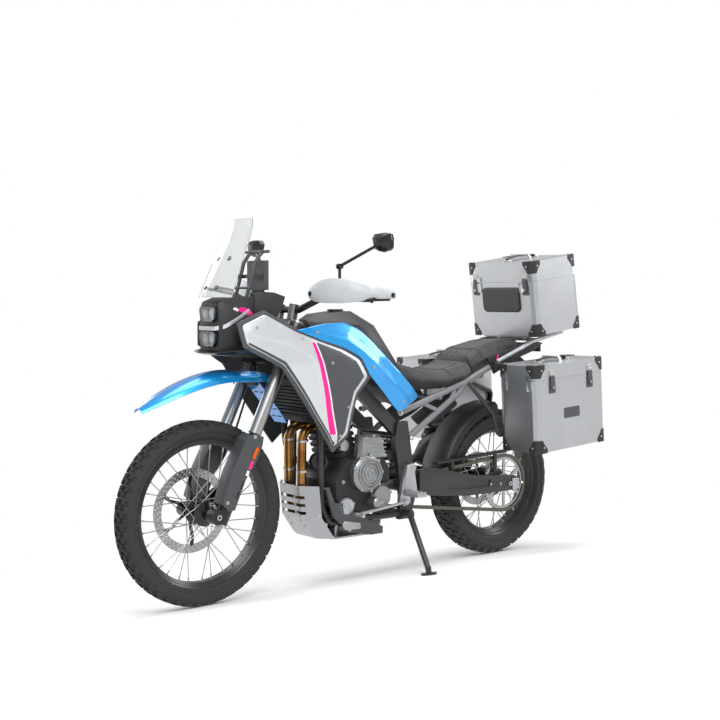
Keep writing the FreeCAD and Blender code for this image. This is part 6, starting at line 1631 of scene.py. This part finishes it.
class MOTORCYCLE_OT_engine(bpy.types.Operator):
    """Engine with rings, ribs, fins, screws, filter and hoses; horn, headers and skid plate"""
    bl_idname = "motorcycle.engine"
    bl_label = "Engine"

    def execute(self, context):
        smooth_all(("engine", "engine", 32.0, 1.4), ("engine_covers", "cover", 32.0, 1.8),
                   ("radiator", "black", 40.0, 0.8))
        castings, screws, knobs, hoses, clips = batch(5)
        nodes = ("engine_covers", "engine")
        out = Vector((0, 1, 0))

        def boss(x, z, radius, low, high, lift, head, side=1):
            """A boss on the castings with its screw."""
            spot = beside(nodes, x, z, side)[0]
            turned(castings, [(radius, -3), (radius, low), (radius - 1, high)], spot,
                   out * side, 16)
            screw(screws, spot + out * side * lift, out * side, head)

        hub = Vector((66, beside(nodes, 66, 449)[0].y, 449))
        for radius, lift in ((58, 0.6), (44, 1.2), (30, 2.2)):
            turned(castings, [(radius - 2.2, -1.0), (radius - 2.0, lift + 0.8),
                              (radius - 1.0, lift + 1.5), (radius + 1.0, lift + 1.5),
                              (radius + 2.0, lift + 0.8), (radius + 2.4, -1.0)],
                   hub, out, 48, loop=True)
        turned(castings, [(15, -1), (15, 3.2), (13, 4.6), (6, 5.2), (5.4, 3.6)], hub, out, 32)
        for u, v in around(9, 71, 0.5):
            boss(66 + u, 449 + v, 7.6, 2.2, 3.2, 2.8, 3.6)
        for z in range(512, 581, 17):
            y = beside(nodes, 22, z)[0].y
            slab(castings, rounded(104, 5.2, 2.4, 3, (20, z)), y - 1.0, y + 3.0, 0.9)
        for x, z in ((-30, 512), (-14, 570), (72, 512), (72, 588), (22, 592)):
            boss(x, z, 7.0, 1.8, 2.6, 2.2, 3.2)
        cap_y = beside(nodes, 146, 560)[0].y
        turned(knobs, [(23, -2), (23, 3), (20, 5), (20, 9), (17, 11), (9, 11.6), (8, 9)],
               (146, cap_y, 560), out, 40)
        for u, v in around(12, 20.4):
            turned(knobs, [(2.4, 4.0), (2.4, 9.4), (1.4, 10.2)], (146 + u, cap_y, 560 + v), out, 8)
        for side in both:
            for z in range(640, 719, 13):
                y = beside(("engine",), 150, z, side)[0].y
                slab(castings, rounded(92, 3.0, 1.2, 2, (146, z)), y - side * 2.0,
                     y + side * 4.5, 0.6)
        for side in both:
            for x, z in ((-60, 360), (10, 330), (120, 330), (170, 420), (-80, 460)):
                boss(x, z, 8, 2, 3, 2.4, 3.8, side)
        filter_y = min(beside(nodes, 160, 330)[0].y, 112)
        leaning = (0.25, 1, 0)
        turned(knobs, [(32, -4), (33, 2), (33, 20), (30, 26), (12, 28), (11, 25)],
               (160, filter_y, 326), leaning, 40)
        for u, v in around(14, 32.4):
            turned(knobs, [(2.6, 12), (2.6, 24.5), (1.6, 26)], (160 + u, filter_y, 326 + v),
                   leaning, 6)
        for radius, sides, steps, line in (
                (12.5, 14, 5, [(300, 92, 700), (270, 100, 668), (226, 96, 640), (190, 84, 628),
                               (150, 76, 640)]),
                (12.5, 14, 5, [(318, -92, 690), (296, -104, 640), (286, -104, 560),
                               (250, -96, 500), (200, -88, 470)]),
                (5.0, 10, 4, [(-20, 104, 640), (20, 112, 618), (70, 110, 622), (110, 96, 640)]),
                (4.0, 10, 4, [(104, 112, 600), (96, 116, 560), (104, 118, 520),
                              (110, 104, 486)])):
            tube(hoses, line, radius, sides, steps)
        for place, way in (((292, 93.5, 691), (-1, 0.2, -1)), ((160, 78, 637), (-1, -0.3, 0.2)),
                           ((312, -95, 676), (-0.3, -0.2, -1)), ((206, -89, 474), (-1, 0.2, -0.6))):
            turned(clips, [(12.6, -4.5), (14.2, -4.2), (14.2, 4.2), (12.6, 4.5)], place, way, 24,
                   loop=True)
            screw(clips, Vector(place) + out * (15.5 if place[1] > 0 else -15.5), (0, 0, 1), 3.2)
        horn, bands = batch(2)
        turned(horn, [(6, -10), (20, -9), (34, -5), (38, -1), (38, 3), (34, 6), (30, 6.6),
                      (28, 4.5), (12, 4.5), (10, 7), (4, 7.4)], (258, 74, 505), (0.8, 0.6, 0), 40)
        tube(horn, [(250, 70, 508), (236, 62, 530), (222, 56, 556)], 5.0, 8, 3)
        finish_all("chassis", ("engine_rings_and_bosses", castings, "cover", 35.0),
                   ("engine_screws", screws, "zinc"), ("oil_filter_and_cap", knobs, "plate"),
                   ("coolant_hoses", hoses, "rubber"), ("hose_clips", clips, "zinc"),
                   ("horn", horn, "gloss", 30.0))
        smoothed("exhaust_headers", "headers", 55.0)
        for y in (45, -45):
            for z in (588, 470):
                start = cast(("exhaust_headers",), (430, y, z), (-1, 0, 0))[0]
                turned(bands, [(21.2, -5), (23.4, -4.4), (23.4, 4.4), (21.2, 5)],
                       start - Vector((20, 0, 0)), (0.1, 0, 1), 28, loop=True)
        finished("header_clamps", bands, "zinc", "chassis")
        smooth_all(("muffler", "dark", 40.0, 1.6), ("skid_plate", "skid", 30.0, 1.6, 2500.0),
                   ("belly_guards", "dark", 30.0, 1.4))
        inserts, heads, ridge = batch(3)
        guards = ("belly_guards",)
        for side in both:
            y = beside(guards, 165, 262, side)[0].y
            slab(inserts, softened([(96, 230), (172, 232), (190, 252), (176, 270), (146, 262),
                                    (98, 254)], 6.0), y + side * 0.3, y + side * 2.4, 0.8)
            for x, z in ((112, 240), (172, 254)):
                spot = beside(guards, x, z, side)[0]
                screw(heads, spot + out * side * 2.2, out * side, 5.2)
            for x, z in ((150, 232), (260, 262), (290, 300)):
                screw(heads, *beside(("skid_plate", *guards), x, z, side), 5.4)
        for z in range(250, 420, 26):
            for y in (-44, 44):
                screw(ridge, *cast(("skid_plate",), (700, y, z), (-1, 0, 0)), 4.2)
        finish_all("chassis", ("belly_guard_inserts", inserts, "skid"),
                   ("belly_guard_screws", heads, "zinc"), ("skid_plate_screws", ridge, "zinc"))
        return {"FINISHED"}


class MOTORCYCLE_OT_frame_parts(bpy.types.Operator):
    """Frame, swingarm, racks, stand, chain and tail, with nuts, adjusters and plates"""
    bl_idname = "motorcycle.frame_parts"
    bl_label = "Frame and swingarm"

    def execute(self, context):
        smooth_all(("main_frame", "frame", 50.0), ("subframe", "grey_frame", 50.0),
                   ("swingarm", "frame", 30.0, 3.0), ("side_stand", "frame", 50.0),
                   ("luggage_rack", "plate", 50.0), ("pannier_racks", "frame", 50.0),
                   ("rear_shock", "frame", 50.0), ("foot_controls", "plate", 45.0, 0.8),
                   ("rear_guards", "black", 40.0, 0.8), ("rear_mudguard", "black", 40.0, 0.8),
                   ("tail_panels", "black", 35.0, 1.6), ("chain", "chain", 30.0),
                   ("rear_sprocket", "steel", 30.0, 0.5), ("rear_caliper", "gloss", 35.0, 1.6),
                   ("rear_axle", "zinc", 45.0, 0.6))
        nuts, plates, heel, pads, fills = batch(5)
        for side in both:
            out = (0, side, 0)
            for x, z in ((-118, 675), (-175, 571)):
                nut(nuts, beside(("subframe", "main_frame"), x, z, side)[0], out, 8.0)
            turned(nuts, [(26, -0.5), (26, 3), (23, 5), (13, 5.4), (12.4, 3.0)],
                   beside(("main_frame", "swingarm"), -165, 352, side)[0], out, 32)
            for x, z in ((-700, 330), (-640, 334)):
                screw(nuts, beside(("swingarm",), x, z, side)[0], out, 4.4)
            y = beside(("swingarm", "rear_axle"), -795, 322, side)[0].y
            slab(plates, softened([(-812, 300), (-772, 296), (-768, 348), (-812, 346)], 6.0),
                 y + side * 0.3, y + side * 5.0, 1.2)
            tube(plates, [(-812, y + side * 2, 324), (-836, y + side * 2, 323)], 4.0, 8, 1)
            turned(nuts, [(8, -0.5), (8, 5), (7, 6)], (-822, y + side * 2, 323.5), (-1, 0, 0), 6)
            y = beside(("main_frame", "subframe", "foot_controls"), -158, 420, side)[0].y
            slab(heel, softened([(-196, 352), (-138, 336), (-128, 384), (-142, 462), (-172, 470),
                                 (-184, 418)], 8.0), y + side * 0.4, y + side * 4.4, 1.2)
            for x, z in ((-168, 452), (-150, 352)):
                screw(pads, (x, y + side * 4.2, z), out, 4.6)
            slab(fills, softened([(-200, 652), (-330, 720), (-420, 748), (-470, 690), (-380, 640),
                                  (-262, 600)], 12.0), side * 92, side * 96, 1.2)
        finish_all("chassis", ("frame_nuts", nuts, "zinc"), ("chain_adjusters", plates, "plate"),
                   ("foot_plates", heel, "plate"), ("foot_plate_screws", pads, "zinc"),
                   ("subframe_infill_panels", fills, "black", 35.0))
        return {"FINISHED"}


class MOTORCYCLE_OT_fork(bpy.types.Operator):
    """Fork with stanchions, guards with reflectors, flashes and slots, caliper and hose"""
    bl_idname = "motorcycle.fork"
    bl_label = "Fork"

    def execute(self, context):
        smooth_all(("fork_tubes", "steel", 55.0), ("fork_legs", "gloss", 50.0),
                   ("fork_clamps", "rim", 35.0, 1.6), ("fork_guards", "dark", 30.0, 1.6),
                   ("front_caliper", "gloss", 35.0, 1.6), ("front_axle", "zinc", 45.0, 0.6),
                   ("brake_hoses", "rubber", 60.0))
        bars, pinks, whites, slots, heads = batch(5)
        inward = 370

        def guard_spot(x, z, side):
            """The place and normal on a fork guard, seen from ahead and beside it."""
            return cast(("fork_guards",), (x + 60, side * 500, z), (-60, -inward * side, 0))

        for side in both:
            for mesh, x, z, wide, tall, low, high in (
                    (bars, 598, 572, 12, 44, 0.4, 3.6), (pinks, 617, 529, 11, 34, 0.3, 0.9),
                    (whites, 633, 500, 11, 20, 0.3, 0.9), (slots, 656, 460, 7, 36, 0.3, 1.1),
                    (slots, 676, 425, 7, 30, 0.3, 1.1)):
                slab(mesh, rounded(wide, tall, min(wide, tall) * 0.3, 3), low, high, 0.5,
                     on_plane(*guard_spot(x, z, side), (-0.5, 0, 1)))
            for x, z in ((598, 632), (720, 400)):
                screw(heads, *guard_spot(x, z, side), 5.0)
        finish_all("steering", ("fork_reflectors", bars, "amber"),
                   ("fork_guard_flashes", pinks, "magenta"),
                   ("fork_guard_pinstripes", whites, "white"),
                   ("fork_guard_slots", slots, "gloss"), ("fork_guard_screws", heads, "zinc"))
        return {"FINISHED"}


class MOTORCYCLE_OT_tail(bpy.types.Operator):
    """Tail lamp, indicators on stalks, plate holder and the magenta tail line"""
    bl_idname = "motorcycle.tail"
    bl_label = "Tail"

    def execute(self, context):
        smoothed("tail_lamp", "red", 35.0, 1.6)
        stalks, lenses, plate, line = batch(4)
        for side in both:
            lamp, way = (-1022, side * 110, 812), (-0.15, side, 0)
            tube(stalks, [(-1010, side * 40, 812), (-1018, side * 70, 810),
                          (-1022, side * 96, 812)], 6.0, 12, 4)
            turned(stalks, [(9, -14), (15, -8), (16, 2), (16, 14), (13, 18)], lamp, way, 24)
            turned(lenses, [(14.6, 12), (15.4, 16), (15.0, 26), (11, 32), (4, 34)], lamp, way, 24)
            tube(line, [beside(("tail_panels",), x, z, side)[0] + Vector((0, side * 1.6, 0))
                        for x, z in ((-660, 899), (-659, 892), (-656, 885), (-653, 875),
                                     (-650, 866))], 3.0, 8, 3)
        slope, middle = 0.25, 700
        slab(plate, rounded(170, 110, 10, 4, (0, middle)), -1062, -1066, 1.4,
             lambda a, b, h: Vector((h + (b - middle) * slope, a, b)))
        for y, radius in ((0, 9.0), (26, 6.0), (-26, 6.0)):
            tube(stalks, [(-1000, y, 800), (-1030, y, 770), (-1052, y, 730)], radius, 12, 4)
        finish_all("chassis", ("tail_stalks", stalks, "black"),
                   ("indicator_lenses", lenses, "amber"), ("plate_holder", plate, "black"),
                   ("tail_lines", line, "magenta"))
        return {"FINISHED"}


class MOTORCYCLE_OT_finishes(bpy.types.Operator):
    """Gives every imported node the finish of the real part"""
    bl_idname = "motorcycle.finishes"
    bl_label = "Finishes"

    def execute(self, context):
        finishes.update(make_finishes())
        for name, finish in node_finish.items():
            for slot in frame["nodes"][name].material_slots:
                slot.material = finishes[finish]
        return {"FINISHED"}


class MOTORCYCLE_OT_stage(bpy.types.Operator):
    """Pale floor, white backdrop, soft studio lamps and the camera"""
    bl_idname = "motorcycle.stage"
    bl_label = "Stage"

    def execute(self, context):
        scene = context.scene
        scene.view_settings.view_transform = "Standard"
        material = bpy.data.materials.new("matt_pale_floor_paint")
        material.use_nodes = True
        tree = material.node_tree
        tree.nodes.clear()
        floor_shade = add(tree, "BsdfDiffuse", {"Color": shade("F1F1F0")})
        glow = add(tree, "Emission", {"Color": (1, 1, 1, 1), "Strength": 1.0})
        rays = add(tree, "LightPath")
        place = add(tree, "TexCoord").outputs["Object"]
        reach = add(tree, "VectorMath", {0: place}, operation="LENGTH").outputs["Value"]
        # Beyond these distances the floor turns as white for the camera as the backdrop.
        shaded_to, white_from = 1.3, 3.4
        far = add(tree, "MapRange", {"Value": reach, "From Min": shaded_to,
                                     "From Max": white_from})
        distant = add(tree, "Math", {0: rays.outputs["Is Camera Ray"],
                                     1: far.outputs["Result"]}, operation="MULTIPLY")
        mirrored_in = add(tree, "Math", {0: rays.outputs["Is Glossy Ray"],
                                         1: rays.outputs["Is Transmission Ray"]},
                          operation="MAXIMUM")
        seen = add(tree, "Math", {0: mirrored_in.outputs["Value"],
                                  1: distant.outputs["Value"]}, operation="MAXIMUM")
        mix = add(tree, "MixShader", {0: seen.outputs["Value"], 1: floor_shade.outputs["BSDF"],
                                      2: glow.outputs["Emission"]})
        add(tree, "OutputMaterial", {"Surface": mix.outputs["Shader"]})
        mesh = bpy.data.meshes.new("floor")
        half = 40.0
        mesh.from_pydata([(-half, -half, 0), (half, -half, 0), (half, half, 0),
                          (-half, half, 0)], [], [(0, 1, 2, 3)])
        floor = bpy.data.objects.new("floor", mesh)
        mesh.materials.append(material)
        scene.collection.objects.link(floor)
        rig.stage(floor)
        world = bpy.data.worlds.new("studio")
        scene.world = world
        world.use_nodes = True
        tree = world.node_tree
        tree.nodes.clear()
        rays = add(tree, "LightPath")
        seen = add(tree, "Math", {0: rays.outputs["Is Camera Ray"],
                                  1: rays.outputs["Is Transmission Ray"]}, operation="MAXIMUM")
        soft = add(tree, "Background", {"Color": shade("FFFFFF"), "Strength": 0.55})
        white = add(tree, "Background", {"Color": shade("FFFFFF"), "Strength": 1.0})
        mix = add(tree, "MixShader", {0: seen.outputs["Value"], 1: soft.outputs["Background"],
                                      2: white.outputs["Background"]})
        add(tree, "OutputWorld", {"Surface": mix.outputs["Shader"]})
        for name, place, wide, power in (("key", (2.2, 3.6, 3.6), 3.0, 170.0),
                                         ("top", (-0.3, 0.2, 4.0), 3.5, 110.0),
                                         ("rim", (-3.4, 1.5, 2.2), 2.0, 60.0),
                                         ("far", (1.0, -4.0, 2.4), 3.0, 60.0)):
            lamp = bpy.data.lights.new(name, "AREA")
            lamp.shape = "DISK"
            lamp.size = wide
            lamp.energy = power
            holder = bpy.data.objects.new(name, lamp)
            holder.location = place
            aim = Vector((0, 0, 0.6)) - Vector(place)
            holder.rotation_euler = aim.to_track_quat("-Z", "Y").to_euler()
            scene.collection.objects.link(holder)
        lens = bpy.data.cameras.new("camera")
        lens.lens = 61.35
        lens.sensor_width = 36.0
        lens.clip_end = 200.0
        camera = bpy.data.objects.new("camera", lens)
        # Where the photograph was taken from, and what it looks at, on the upright machine.
        eye, aim = (origin + upright @ (Vector(place) / 1000)
                    for place in ((3136.76516, 3876.23871, 1159.52267), (-10.0, 0.0, 890.0)))
        away = (eye - aim).normalized()
        side = (upright @ Vector((0, 0, 1))).cross(away).normalized()
        up = away.cross(side)
        turn = Matrix((side, up, away)).transposed()
        camera.matrix_world = Matrix.Translation(eye) @ turn.to_4x4()
        scene.collection.objects.link(camera)
        scene.camera = camera
        return {"FINISHED"}


class MOTORCYCLE_PT_panel(bpy.types.Panel):
    """The groups of pieces in the sidebar"""
    bl_idname = "MOTORCYCLE_PT_panel"
    bl_label = "Motorcycle"
    bl_space_type = "VIEW_3D"
    bl_region_type = "UI"
    bl_category = "Motorcycle"

    def draw(self, context):
        for group in (context.scene.motorcycle_sizes, context.scene.motorcycle_colours):
            for name in group.__annotations__:
                self.layout.prop(group, name)
        for item in operators:
            self.layout.operator(item.bl_idname)


operators = tuple(item for item in list(globals().values())
                  if isinstance(item, type) and issubclass(item, bpy.types.Operator))
classes = (MotorcycleSizes, MotorcycleColours, *operators, MOTORCYCLE_PT_panel)


def register():
    """Adds the sizes, the colours, the operators and the panel to Blender."""
    for item in classes:
        bpy.utils.register_class(item)
    bpy.types.Scene.motorcycle_sizes = bpy.props.PointerProperty(type=MotorcycleSizes)
    bpy.types.Scene.motorcycle_colours = bpy.props.PointerProperty(type=MotorcycleColours)


def unregister():
    """Takes them out again."""
    del bpy.types.Scene.motorcycle_sizes
    del bpy.types.Scene.motorcycle_colours
    for item in reversed(classes):
        bpy.utils.unregister_class(item)


def main():
    """Makes the finishes, the stage and every group, and notes the sizes."""
    register()
    bpy.ops.motorcycle.stage()
    bpy.ops.motorcycle.finishes()
    for item in operators:
        if item.bl_idname not in ("motorcycle.stage", "motorcycle.finishes"):
            getattr(bpy.ops.motorcycle, item.bl_idname.split(".")[1])()
    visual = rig.bounds()
    with open("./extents.json", "w") as file:
        json.dump({"cad": [list(p) for p in cad_box], "visual": [list(p) for p in visual]}, file)


if __name__ == "__main__":
    main()
